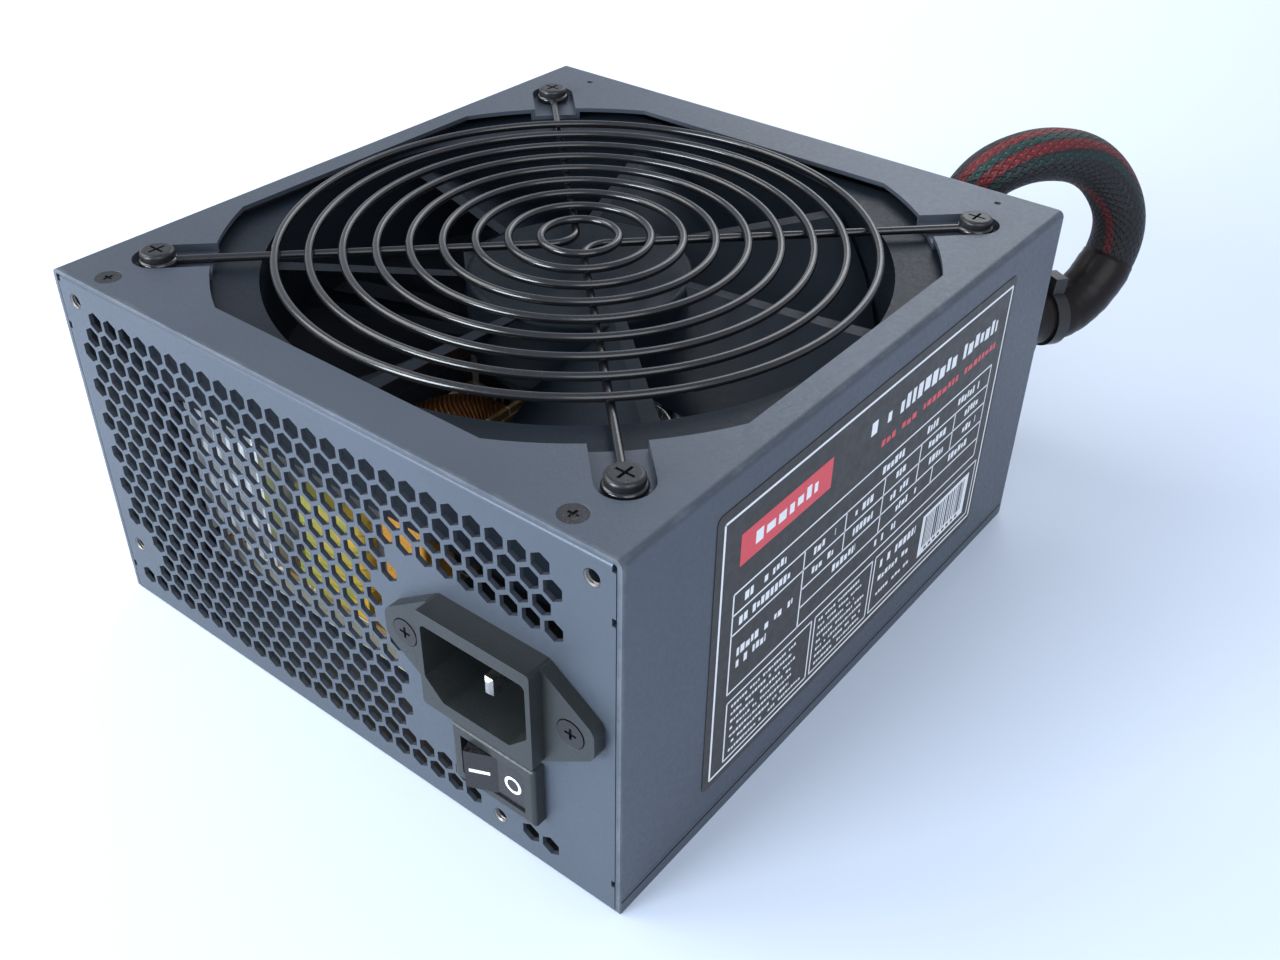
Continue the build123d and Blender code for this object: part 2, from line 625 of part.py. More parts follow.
def shrink_sleeve():
    """Heat-shrink over the start of the harness, ending halfway along a run."""
    points = ROUTE[:SHRINK_POINTS]
    last, before = Vector(*ROUTE[SHRINK_POINTS - 1]), Vector(*ROUTE[SHRINK_POINTS - 2])
    middle = before + (last - before) * 0.5
    radii = corner_radii(ROUTE)[:SHRINK_POINTS - 2]
    points = points[:-1] + [tuple(middle)]
    line = FilletPolyline(*points, radius=radii)
    start = Plane(origin=line @ 0, z_dir=line % 0)
    ring = Circle(SHRINK_D / 2) - Circle(HARNESS_D / 2 + 0.03)
    return sweep(start * ring, path=line)


def harness_end():
    """Place and heading of the harness's far end."""
    end, before = Vector(*ROUTE[-1]), Vector(*ROUTE[-2])
    return end, (end - before).normalized()


def end_frame(along):
    """Frame on the floor at a distance past the harness's end, X along the harness."""
    end, heading = harness_end()
    angle = degrees(atan2(heading.Y, heading.X))
    return Pos(end.X + heading.X * along, end.Y + heading.Y * along, 0) * Rot(0, 0, angle)


def end_band():
    """Short shrink band that holds the braid's end."""
    ring = Circle(SHRINK_D / 2 - 0.25) - Circle(HARNESS_D / 2 + 0.03)
    plane = Plane(origin=(0, 0, FLOOR_Z), x_dir=(0, 1, 0), z_dir=(1, 0, 0))
    return end_frame(-9.5) * extrude(plane * ring, 9.5)


def wire_fan():
    """The loose wires between the braid's end and the connector, as one solid."""
    width = PIN_PITCH * PIN_COLUMNS
    front = Plane(origin=(0, 0, FLOOR_Z), x_dir=(0, 1, 0), z_dir=(1, 0, 0))
    rear = Plane(origin=(FAN_OUT, 0, PLUG_HEIGHT / 2 + 0.1), x_dir=(0, 1, 0), z_dir=(1, 0, 0))
    side = HARNESS_D - 0.4
    first = front * RectangleRounded(side, side, side / 2 - 0.1)
    last = rear * RectangleRounded(width - 1.2, PLUG_HEIGHT - 1.4, 2.0)
    return end_frame(0) * loft([first, last])


def plug_housing():
    width = PIN_PITCH * PIN_COLUMNS + 1.2
    z0 = 0.1
    body = block(0, PLUG_LENGTH, -width / 2, width / 2, z0, z0 + PLUG_HEIGHT)
    for row in range(2):
        for column in range(PIN_COLUMNS):
            y = PIN_PITCH * (column - (PIN_COLUMNS - 1) / 2)
            z = z0 + PLUG_HEIGHT / 2 + PIN_PITCH * (row - 0.5)
            body -= block(5, PLUG_LENGTH + 1, y - 1.6, y + 1.6, z - 1.6, z + 1.6)
    # latch posts on the upper face
    for side in (-1, 1):
        body += block(9.4, 12.6, side * 3.9 - 0.7, side * 3.9 + 0.7, z0 + PLUG_HEIGHT, z0 + PLUG_HEIGHT + 3.4)
    body -= Pos(11, 0, z0 + PLUG_HEIGHT + 2) * Rot(90, 0, 0) * Cylinder(0.8, 20)
    return end_frame(FAN_OUT) * body


def plug_contacts():
    contacts = []
    z0 = 0.1
    for row in range(2):
        for column in range(PIN_COLUMNS):
            y = PIN_PITCH * (column - (PIN_COLUMNS - 1) / 2)
            z = z0 + PLUG_HEIGHT / 2 + PIN_PITCH * (row - 0.5)
            sleeve = block(5, 17, y - 1.3, y + 1.3, z - 1.3, z + 1.3)
            contacts.append(sleeve - block(6, 18, y - 0.9, y + 0.9, z - 0.9, z + 0.9))
    return end_frame(FAN_OUT) * group(contacts)


def plug_latch():
    """Rocking clip on the connector: thumb end at the wires, hook past the mating face."""
    z = 0.1 + PLUG_HEIGHT
    arm = block(1.5, PLUG_LENGTH + 4.5, -3.0, 3.0, z + 1.3, z + 2.8)
    arm += block(PLUG_LENGTH + 2.6, PLUG_LENGTH + 4.5, -3.0, 3.0, z + 0.2, z + 1.4)
    arm += Pos(11, 0, z + 2) * Rot(90, 0, 0) * Cylinder(1.5, 6.0)
    arm += Pos(11, 0, z + 2) * Rot(90, 0, 0) * Cylinder(0.74, 8.8)
    return end_frame(FAN_OUT) * arm


def cable_bushing():
    x = BUSH_X
    flange = rod_y(x, BUSH_Z, HALF_D, HALF_D + 2, 11)
    neck = rod_y(x, BUSH_Z, HALF_D - 4, HALF_D, 9.0)
    catch = rod_y(x, BUSH_Z, HALF_D - 4, HALF_D - SHEET - 0.05, 9.3)
    return flange + neck + catch - rod_y(x, BUSH_Z, HALF_D - 5, HALF_D + 3, 7.2)


def exit_tie():
    """Nylon tie round the heat-shrink, with its square head."""
    points = [Vector(*p) for p in ROUTE[1:3]]
    heading = (points[1] - points[0]).normalized()
    centre = points[0] + (points[1] - points[0]) * 0.5
    plane = Plane(origin=tuple(centre - heading * 1.8), x_dir=(0, 0, 1), z_dir=tuple(heading))
    band = Circle(SHRINK_D / 2 + 0.75) - Circle(SHRINK_D / 2 + 0.05)
    head = Pos(SHRINK_D / 2 + 2.3, 0) * Rectangle(4.2, 5.0)
    return extrude(plane * (band + head), 3.6)


def rating_label():
    plate = block(HALF_W, HALF_W + 0.15, -54.8, 58.4, 11.0, 79.0)
    return fillet(plate.edges().filter_by(Axis.X), 1.5)


PARTS = {
    "base_tray": base_tray,
    "cover": cover,
    "cover_screws": countersunk_screws,
    "rating_label": rating_label,
    "fan_grill": grill,
    "fan_screws": pan_screws,
    "fan_frame": fan_frame,
    "fan_rotor": fan_rotor,
    "fan_magnet": lambda: ring_z(HUB_R - HUB_WALL - 0.02, 19.5, ROTOR_LOW + 0.5, ROTOR_TOP - 3),
    "fan_shaft": lambda: post(0, FAN_Y, FAN_BASE + 1.6, ROTOR_TOP - 1.2, SHAFT_R),
    "fan_bearing": lambda: ring_z(3.0, SHAFT_R + 0.04, FAN_BASE + 1, FAN_BASE + 13.2),
    "fan_stator": fan_stator,
    "stator_coils": stator_coils,
    "fan_motor_board": lambda: ring_z(18.5, 4.6, FAN_BASE + 1.8, FAN_BASE + 3.0),
    "fan_lead": fan_lead,
    "fan_socket": lambda: block(62.4, 68.0 - 1.2, 20, 26, BOARD_TOP, 18.2),
    "inlet_housing": inlet_housing,
    "inlet_pins": inlet_pins,
    "inlet_screws": inlet_screws,
    "inlet_nuts": inlet_nuts,
    "switch_body": switch_body,
    "switch_rocker": switch_rocker,
    "switch_terminals": switch_terminals,
    "mains_wires": mains_wires,
    "circuit_board": circuit_board,
    "board_posts": board_posts,
    "board_screws": board_screws,
    "insulation_sheet": insulation_sheet,
    "primary_heatsink": lambda: finned_heatsink(-66, -41, -43, -1, 6, 20) - block(-67, -58.4, -64, -39, 0, 12.6),
    "secondary_heatsink": lambda: finned_heatsink(-60, 14, 22, 1, 9, 12),
    "primary_transistors": lambda: group([transistor(x, -40, 1) for x in (-58, -47)]),
    "output_rectifiers": lambda: group([transistor(x, 22, -1) for x in (-48, -22, 4)]),
    "bridge_rectifier": bridge_rectifier,
    "transformer_core": lambda: transformer_core(-24, -46, 32, 20, 30),
    "transformer_winding": lambda: transformer_winding(-24, -46, 32, 20, 30),
    "standby_core": lambda: transformer_core(-6, 2, 18, 12, 14),
    "standby_winding": lambda: transformer_winding(-6, 2, 18, 12, 14),
    "output_choke": lambda: toroid(-42, -2, 11, 6.2),
    "common_mode_choke": common_mode_choke,
    "mains_filter_capacitor": lambda: fillet(block(-7, 6, -59, -50, BOARD_TOP, 44).edges(), 1.0),
    "bulk_capacitors": lambda: group([can(x, y, 11, 40) for x, y in ((18, -8), (38, 4))]),
    "output_capacitors": lambda: group([can(-56 + 13 * k, 52, 5, 22) for k in range(6)]),
    "fuse": fuse,
    "control_board": lambda: block(-24, -22.8, -14, 12, BOARD_TOP, BOARD_TOP + 24),
    "output_wires": output_wires,
    "cable_bushing": cable_bushing,
    "harness": harness_tube,
    "harness_shrink": shrink_sleeve,
    "harness_end_band": end_band,
    "exit_tie": exit_tie,
    "wire_fan": wire_fan,
    "plug_housing": plug_housing,
    "plug_contacts": plug_contacts,
    "plug_latch": plug_latch,
}


os.makedirs("parts", exist_ok=True)
for name, make in PARTS.items():
    export_step(make(), "parts/%s.step" % name)
print(len(PARTS), "parts written")
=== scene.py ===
"""Looks for a boxed computer power supply: paint, grill, inlet, switch, label and sleeved harness."""

import json
from math import atan2, cos, pi, radians, sin
import random

import bmesh
import bpy
from bpy.props import FloatProperty, FloatVectorProperty, IntProperty, PointerProperty
from bpy.types import Operator, Panel, PropertyGroup
from mathutils import Matrix, Vector


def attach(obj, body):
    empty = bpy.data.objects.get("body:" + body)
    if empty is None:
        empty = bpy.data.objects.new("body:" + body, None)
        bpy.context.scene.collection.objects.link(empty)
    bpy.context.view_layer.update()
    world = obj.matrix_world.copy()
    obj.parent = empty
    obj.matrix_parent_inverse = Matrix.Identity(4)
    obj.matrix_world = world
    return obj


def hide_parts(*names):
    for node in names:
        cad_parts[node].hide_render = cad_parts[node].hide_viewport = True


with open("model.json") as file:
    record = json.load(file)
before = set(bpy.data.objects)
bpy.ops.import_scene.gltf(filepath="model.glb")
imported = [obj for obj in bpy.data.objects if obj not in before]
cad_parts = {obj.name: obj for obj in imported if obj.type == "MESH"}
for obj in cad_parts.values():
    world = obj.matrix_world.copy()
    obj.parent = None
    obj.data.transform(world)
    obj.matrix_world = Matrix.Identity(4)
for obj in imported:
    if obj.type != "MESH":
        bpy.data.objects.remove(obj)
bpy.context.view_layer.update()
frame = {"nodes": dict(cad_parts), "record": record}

bl_info = {
    "name": "Boxed Power Supply",
    "version": (1, 0, 0),
    "blender": (4, 5, 0),
    "location": "View3D > Sidebar > Power Supply",
    "description": "Builds the looks of a boxed computer power supply around its CAD frame",
    "category": "Object",
}

MM = 0.001
CASE_X, CASE_Y, CASE_Z = 0.075, 0.080, 0.086
SWITCH_AT = (46.8, 21.8)
SWITCH_PIVOT_Y = -77.5
SCREW_HOLES = [(-69, 80), (69, 80), (-69, 16), (45, 6)]
HOLE_R = 1.75
THREAD_STEP, THREAD_DEEP, THREAD_SHALLOW = 0.28, 0.34, 0.06
SEAM_LOW, SEAM_HIGH = 2.9, 3.3                 # slit along the foot of each side, drawn as a near-black strip of painted shade
LABEL_FACE = 75.15
BAR_LIFT = 0.014
ROCKER_TILT = 24.0

# Camera: where it stands and how it turns, in metres and degrees.
CAMERA_AT = (0.1703, -0.2001, 0.2141)
CAMERA_AZIMUTH, CAMERA_ELEVATION, CAMERA_ROLL = 37.54, 36.28, 1.03
SENSOR_WIDTH, LENS = 36.0, 37.48

# Soft lights: name, place, target, size, power and colour.
LIGHTS = (
    ("window", (-0.9, -0.5, 0.9), (0, 0, 0.05), 0.9, 11.0, (1.0, 0.99, 0.97)),
    ("back_window", (-0.3, 1.1, 0.9), (0, 0, 0.08), 0.8, 5.0, (0.95, 0.98, 1.0)),
    ("front_low", (-0.35, -1.2, 0.35), (0, 0, 0.04), 0.6, 25.0, (0.80, 0.91, 1.0)),
    ("fill", (1.0, -0.6, 0.8), (0, 0, 0.05), 1.0, 8.0, (0.92, 0.96, 1.0)),
)

# Harness route: the same points as the part's tube, in metres.
HARNESS_ROUTE = [
    (0.0635, 0.0820, 0.0500), (0.0643, 0.0920, 0.0493), (0.0732, 0.1082, 0.0476),
    (0.0772, 0.1235, 0.0664), (0.0675, 0.1195, 0.0836), (0.0566, 0.1030, 0.0883),
    (0.0456, 0.0932, 0.0802), (0.0410, 0.0956, 0.0575), (0.0360, 0.1020, 0.0330),
    (0.0220, 0.1070, 0.0130), (0.0010, 0.1075, 0.0067), (-0.0260, 0.1050, 0.0067),
    (-0.0540, 0.1070, 0.0067), (-0.0790, 0.1170, 0.0067), (-0.0910, 0.1390, 0.0067),
    (-0.0800, 0.1600, 0.0067), (-0.0560, 0.1655, 0.0067), (-0.0320, 0.1655, 0.0067),
]
HARNESS_END = HARNESS_ROUTE[-1]


# ---------------------------------------------------------------- properties
class CaseLook(PropertyGroup):
    paint: FloatVectorProperty(name="Paint", description="Colour of the case paint", subtype="COLOR",
                               size=3, min=0, max=1, default=(0.062, 0.074, 0.096))
    worn: FloatVectorProperty(name="Worn paint", description="Colour of the paint rubbed along edges",
                              subtype="COLOR", size=3, min=0, max=1, default=(0.17, 0.18, 0.20))
    grain: FloatProperty(name="Paint grain", description="Size of the fine texture in the paint",
                         unit="LENGTH", min=0.0001, max=0.01, default=0.0009)
    roughness: FloatProperty(name="Paint roughness", description="Roughness of the case paint",
                             subtype="FACTOR", min=0, max=1, default=0.42)


class LabelLook(PropertyGroup):
    film: FloatVectorProperty(name="Film", description="Ground colour of the rating label",
                              subtype="COLOR", size=3, min=0, max=1, default=(0.036, 0.034, 0.033))
    ink: FloatVectorProperty(name="Ink", description="Colour of the printed lines", subtype="COLOR",
                             size=3, min=0, max=1, default=(0.75, 0.76, 0.78))
    accent: FloatVectorProperty(name="Accent", description="Colour of the printed badge", subtype="COLOR",
                                size=3, min=0, max=1, default=(0.62, 0.045, 0.06))
    line: FloatProperty(name="Line width", description="Width of the thin printed lines", unit="LENGTH",
                        min=0.0001, max=0.002, default=0.0004)


class HarnessLook(PropertyGroup):
    diameter: FloatProperty(name="Diameter", description="Outside diameter of the braided sleeve",
                            unit="LENGTH", min=0.004, max=0.03, default=0.0128)
    strands: IntProperty(name="Strands", description="Strands each way around the braid", min=8, max=48,
                         default=22)
    pitch: FloatProperty(name="Braid pitch", description="Length in which a strand goes once round",
                         unit="LENGTH", min=0.01, max=0.2, default=0.052)
    strand: FloatVectorProperty(name="Strand", description="Colour of the braid", subtype="COLOR",
                                size=3, min=0, max=1, default=(0.012, 0.012, 0.013))
    shrink: FloatProperty(name="Shrink length", description="Length of the heat-shrink at the case",
                          unit="LENGTH", min=0.01, max=0.1, default=0.042)


class StageLook(PropertyGroup):
    floor: FloatVectorProperty(name="Floor", description="Colour of the floor", subtype="COLOR",
                               size=3, min=0, max=1, default=(0.78, 0.83, 0.90))


# ---------------------------------------------------------------- node helpers
def add_node(tree, kind, inputs=None, **settings):
    """Adds a node, sets its settings, and fills or links its inputs."""
    made = tree.nodes.new(kind)
    for key, value in settings.items():
        setattr(made, key, value)
    for key, value in (inputs or {}).items():
        socket = made.inputs[key]
        if isinstance(value, bpy.types.NodeSocket):
            tree.links.new(value, socket)
        else:
            socket.default_value = value
    return made


def calc(tree, operation, a, b=None, clamp=False):
    """One Math node; a and b are sockets or numbers."""
    inputs = {0: a}
    if b is not None:
        inputs[1] = b
    made = add_node(tree, "ShaderNodeMath", inputs, operation=operation, use_clamp=clamp)
    return made.outputs[0]


def ramp(tree, value, low, high, low_to=0.0, high_to=1.0):
    """Linear remap of a value, clamped."""
    made = add_node(tree, "ShaderNodeMapRange",
                    {"Value": value, "From Min": low, "From Max": high, "To Min": low_to, "To Max": high_to})
    return made.outputs[0]


def blend_colour(tree, factor, a, b):
    """Mix of two colours; each is a socket or an (r, g, b)."""
    made = tree.nodes.new("ShaderNodeMix")
    made.data_type = "RGBA"
    for socket, value in ((made.inputs[0], factor), (made.inputs[6], a), (made.inputs[7], b)):
        if isinstance(value, bpy.types.NodeSocket):
            tree.links.new(value, socket)
        elif isinstance(value, (int, float)):
            socket.default_value = value
        else:
            socket.default_value = (*value[:3], 1.0)
    return made.outputs[2]


def object_coords(tree):
    return add_node(tree, "ShaderNodeTexCoord").outputs["Object"]


def noise(tree, vector, scale, detail=3.0, roughness=0.5):
    made = add_node(tree, "ShaderNodeTexNoise",
                    {"Vector": vector, "Scale": scale, "Detail": detail, "Roughness": roughness})
    return made.outputs[0]


def effect_group(name, inputs, outputs):
    """Starts a node group and returns it with its input and output nodes."""
    group = bpy.data.node_groups.new(name, "ShaderNodeTree")
    for label, kind, default in inputs:
        socket = group.interface.new_socket(label, in_out="INPUT", socket_type=kind)
        if default is not None:
            socket.default_value = default
    for label, kind in outputs:
        group.interface.new_socket(label, in_out="OUTPUT", socket_type=kind)
    return group, group.nodes.new("NodeGroupInput"), group.nodes.new("NodeGroupOutput")


def use_group(tree, name, inputs):
    made = add_node(tree, "ShaderNodeGroup")
    made.node_tree = bpy.data.node_groups[name]
    for key, value in inputs.items():
        if isinstance(value, bpy.types.NodeSocket):
            tree.links.new(value, made.inputs[key])
        else:
            made.inputs[key].default_value = value
    return made


def build_effects():
    """Shared effects: surface grain, dust on upward faces, and rubbed box edges."""
    f, v = "NodeSocketFloat", "NodeSocketVector"
    group, source, sink = effect_group(
        "surface_grain", [("Vector", v, None), ("Fine", f, 1000.0), ("Broad", f, 30.0)],
        [("Height", f), ("Tone", f), ("Patches", f)])
    fine = noise(group, source.outputs["Vector"], source.outputs["Fine"], 4.0, 0.6)
    broad = noise(group, source.outputs["Vector"], source.outputs["Broad"], 3.0, 0.55)
    group.links.new(fine, sink.inputs["Height"])
    group.links.new(ramp(group, fine, 0.3, 0.7, 0.86, 1.14), sink.inputs["Tone"])
    group.links.new(ramp(group, broad, 0.35, 0.65), sink.inputs["Patches"])

    group, source, sink = effect_group(
        "settled_dust", [("Vector", v, None), ("Amount", f, 0.3)], [("Mask", f)])
    up = add_node(group, "ShaderNodeSeparateXYZ",
                  {0: add_node(group, "ShaderNodeNewGeometry").outputs["Normal"]}).outputs[2]
    specks = noise(group, source.outputs["Vector"], 2600.0, 2.0, 0.7)
    cloud = noise(group, source.outputs["Vector"], 45.0, 4.0, 0.6)
    level = calc(group, "MULTIPLY", ramp(group, up, 0.2, 0.95), ramp(group, specks, 0.56, 0.72))
    level = calc(group, "MULTIPLY", level, ramp(group, cloud, 0.35, 0.7))
    level = calc(group, "MULTIPLY", level, source.outputs["Amount"], clamp=True)
    group.links.new(level, sink.inputs["Mask"])

    group, source, sink = effect_group(
        "rubbed_edges", [("Vector", v, None), ("Width", f, 0.0008)], [("Mask", f)])
    parts = add_node(group, "ShaderNodeSeparateXYZ", {0: source.outputs["Vector"]})
    gaps = [
        calc(group, "SUBTRACT", CASE_X, calc(group, "ABSOLUTE", parts.outputs[0])),
        calc(group, "SUBTRACT", CASE_Y, calc(group, "ABSOLUTE", parts.outputs[1])),
        calc(group, "SUBTRACT", CASE_Z, parts.outputs[2]),
    ]
    pairs = [calc(group, "MAXIMUM", gaps[i], gaps[j]) for i, j in ((0, 1), (0, 2), (1, 2))]
    nearest = calc(group, "MINIMUM", calc(group, "MINIMUM", pairs[0], pairs[1]), pairs[2])
    wobble = noise(group, source.outputs["Vector"], 160.0, 4.0, 0.65)
    edge = calc(group, "DIVIDE", nearest, source.outputs["Width"])
    edge = calc(group, "ADD", edge, ramp(group, wobble, 0.3, 0.7, -0.6, 1.1))
    group.links.new(ramp(group, edge, 1.3, 0.2), sink.inputs["Mask"])


def start_material(name):
    made = bpy.data.materials.new("psu_" + name)
    made.use_nodes = True
    shader = made.node_tree.nodes["Principled BSDF"]
    return made, made.node_tree, shader


def bump_into(tree, shader, height, strength, distance=0.0002):
    made = add_node(tree, "ShaderNodeBump", {"Strength": strength, "Distance": distance, "Height": height})
    tree.links.new(made.outputs[0], shader.inputs["Normal"])


def grained(name, colour, roughness, metallic=0.0, fine=1200.0, bump=0.2, patches=0.12, dust=0.0,
            coat=0.0, spread=0.08, distance=0.00015, shine=0.5):
    """A finish with fine grain, soft patches of tone, uneven roughness and optional dust."""
    made, tree, shader = start_material(name)
    place = object_coords(tree)
    grain = use_group(tree, "surface_grain", {"Vector": place, "Fine": fine, "Broad": 28.0})
    darker = tuple(c * (1 - patches) for c in colour)
    lighter = tuple(min(1.0, c * (1 + patches)) for c in colour)
    base = blend_colour(tree, grain.outputs["Patches"], darker, lighter)
    if dust:
        mask = use_group(tree, "settled_dust", {"Vector": place, "Amount": dust}).outputs[0]
        base = blend_colour(tree, mask, base, (0.42, 0.41, 0.38))
    tree.links.new(base, shader.inputs["Base Color"])
    rough = ramp(tree, grain.outputs["Height"], 0.3, 0.7, max(0.02, roughness - spread), roughness + spread)
    tree.links.new(rough, shader.inputs["Roughness"])
    shader.inputs["Metallic"].default_value = metallic
    shader.inputs["Specular IOR Level"].default_value = shine
    if coat:
        shader.inputs["Coat Weight"].default_value = coat
        shader.inputs["Coat Roughness"].default_value = 0.12
    bump_into(tree, shader, grain.outputs["Height"], bump, distance)
    return made


# ---------------------------------------------------------------- finishes
def case_paint(look):
    made, tree, shader = start_material("case_paint")
    place = object_coords(tree)
    grain = use_group(tree, "surface_grain", {"Vector": place, "Fine": 1.0 / look.grain, "Broad": 16.0})
    paint = tuple(look.paint)
    base = blend_colour(tree, grain.outputs["Patches"], tuple(c * 0.93 for c in paint),
                        tuple(c * 1.08 for c in paint))
    rub = use_group(tree, "rubbed_edges", {"Vector": place, "Width": 0.0007}).outputs[0]
    base = blend_colour(tree, calc(tree, "MULTIPLY", rub, 0.40), base, tuple(look.worn))
    dust = use_group(tree, "settled_dust", {"Vector": place, "Amount": 0.10}).outputs[0]
    base = blend_colour(tree, dust, base, (0.45, 0.45, 0.44))
    scratches = add_node(tree, "ShaderNodeTexNoise", {
        "Vector": add_node(tree, "ShaderNodeMapping", {"Vector": place, "Scale": (40.0, 900.0, 40.0),
                                                       "Rotation": (0.3, 0.2, 0.5)}).outputs[0],
        "Scale": 1.0, "Detail": 2.0})
    streak = ramp(tree, scratches.outputs[0], 0.70, 0.76)
    rough = ramp(tree, grain.outputs["Height"], 0.3, 0.7, look.roughness - 0.05, look.roughness + 0.07)
    rough = calc(tree, "SUBTRACT", rough, calc(tree, "MULTIPLY", streak, 0.06))
    tree.links.new(base, shader.inputs["Base Color"])
    tree.links.new(rough, shader.inputs["Roughness"])
    shader.inputs["Metallic"].default_value = 0.35
    bump_into(tree, shader, grain.outputs["Height"], 0.22, 0.0001)
    return made


WIRE_BANDS = (
    (0.175, 0.040, (0.28, 0.016, 0.020)), (0.300, 0.040, (0.28, 0.016, 0.020)),
    (0.100, 0.030, (0.015, 0.05, 0.05)), (0.240, 0.026, (0.015, 0.075, 0.065)),
    (0.47, 0.036, (0.26, 0.12, 0.02)), (0.70, 0.025, (0.03, 0.05, 0.18)),
    (0.85, 0.030, (0.20, 0.012, 0.014)),
)


def braid_material(look):
    """Open braid of dark strands over a bundle of coloured wires, laid out on the sleeve's own map."""
    made, tree, shader = start_material("braid")
    uv = add_node(tree, "ShaderNodeUVMap", uv_map="along_round")
    parts = add_node(tree, "ShaderNodeSeparateXYZ", {0: uv.outputs[0]})
    along, around = parts.outputs[0], parts.outputs[1]
    turns = calc(tree, "DIVIDE", along, look.pitch)
    strands = []
    for sign in ("ADD", "SUBTRACT"):
        phase = calc(tree, "MULTIPLY", calc(tree, sign, around, turns), float(look.strands))
        offset = calc(tree, "ABSOLUTE", calc(tree, "SUBTRACT", calc(tree, "FRACT", phase), 0.5))
        cover = ramp(tree, offset, 0.36, 0.28)
        crown = ramp(tree, calc(tree, "MULTIPLY", offset, offset), 0.2, 0.0)
        threads = ramp(tree, calc(tree, "SINE", calc(tree, "MULTIPLY", phase, 6 * pi)), -1, 1, 0.75, 1)
        strands.append((calc(tree, "FLOOR", phase), cover, calc(tree, "MULTIPLY", crown, threads)))
    crossing = calc(tree, "ABSOLUTE", calc(tree, "ADD", strands[0][0], strands[1][0]))
    parity = calc(tree, "MODULO", crossing, 2.0)
    lift_a = calc(tree, "MULTIPLY", calc(tree, "MULTIPLY", strands[0][1], strands[0][2]),
                  ramp(tree, parity, 0, 1, 0.75, 1.0))
    lift_b = calc(tree, "MULTIPLY", calc(tree, "MULTIPLY", strands[1][1], strands[1][2]),
                  ramp(tree, parity, 0, 1, 1.0, 0.75))
    height = calc(tree, "MAXIMUM", lift_a, lift_b)
    cover = calc(tree, "MAXIMUM", strands[0][1], strands[1][1])
    # coloured wires show through the gaps; their bands turn round the bundle as it is laid
    lay = calc(tree, "MULTIPLY", calc(tree, "SUBTRACT", along, 0.075), 3.0)
    angle = calc(tree, "ADD", calc(tree, "ADD", around, lay), 2.0)
    wires = (0.02, 0.02, 0.022)
    for centre, width, colour in WIRE_BANDS:
        gap = calc(tree, "ABSOLUTE", calc(tree, "SUBTRACT", calc(tree, "FRACT", angle), centre))
        wires = blend_colour(tree, ramp(tree, gap, width, width * 0.6), wires, colour)
    base = blend_colour(tree, calc(tree, "MULTIPLY", cover, 0.74), wires, tuple(look.strand))
    tree.links.new(base, shader.inputs["Base Color"])
    tree.links.new(ramp(tree, height, 0.0, 1.0, 0.6, 0.38), shader.inputs["Roughness"])
    shader.inputs["Specular IOR Level"].default_value = 0.25
    bump_into(tree, shader, height, 0.9, 0.0006)
    return made


WIRE_COLOURS = {
    "yellow": (0.75, 0.52, 0.03), "red": (0.55, 0.02, 0.02), "orange": (0.72, 0.20, 0.02),
    "black": (0.015, 0.015, 0.016), "green": (0.02, 0.28, 0.09), "blue": (0.02, 0.10, 0.42),
    "violet": (0.20, 0.05, 0.35), "grey": (0.28, 0.28, 0.29),
}

AMBER = (0.66, 0.36, 0.03)

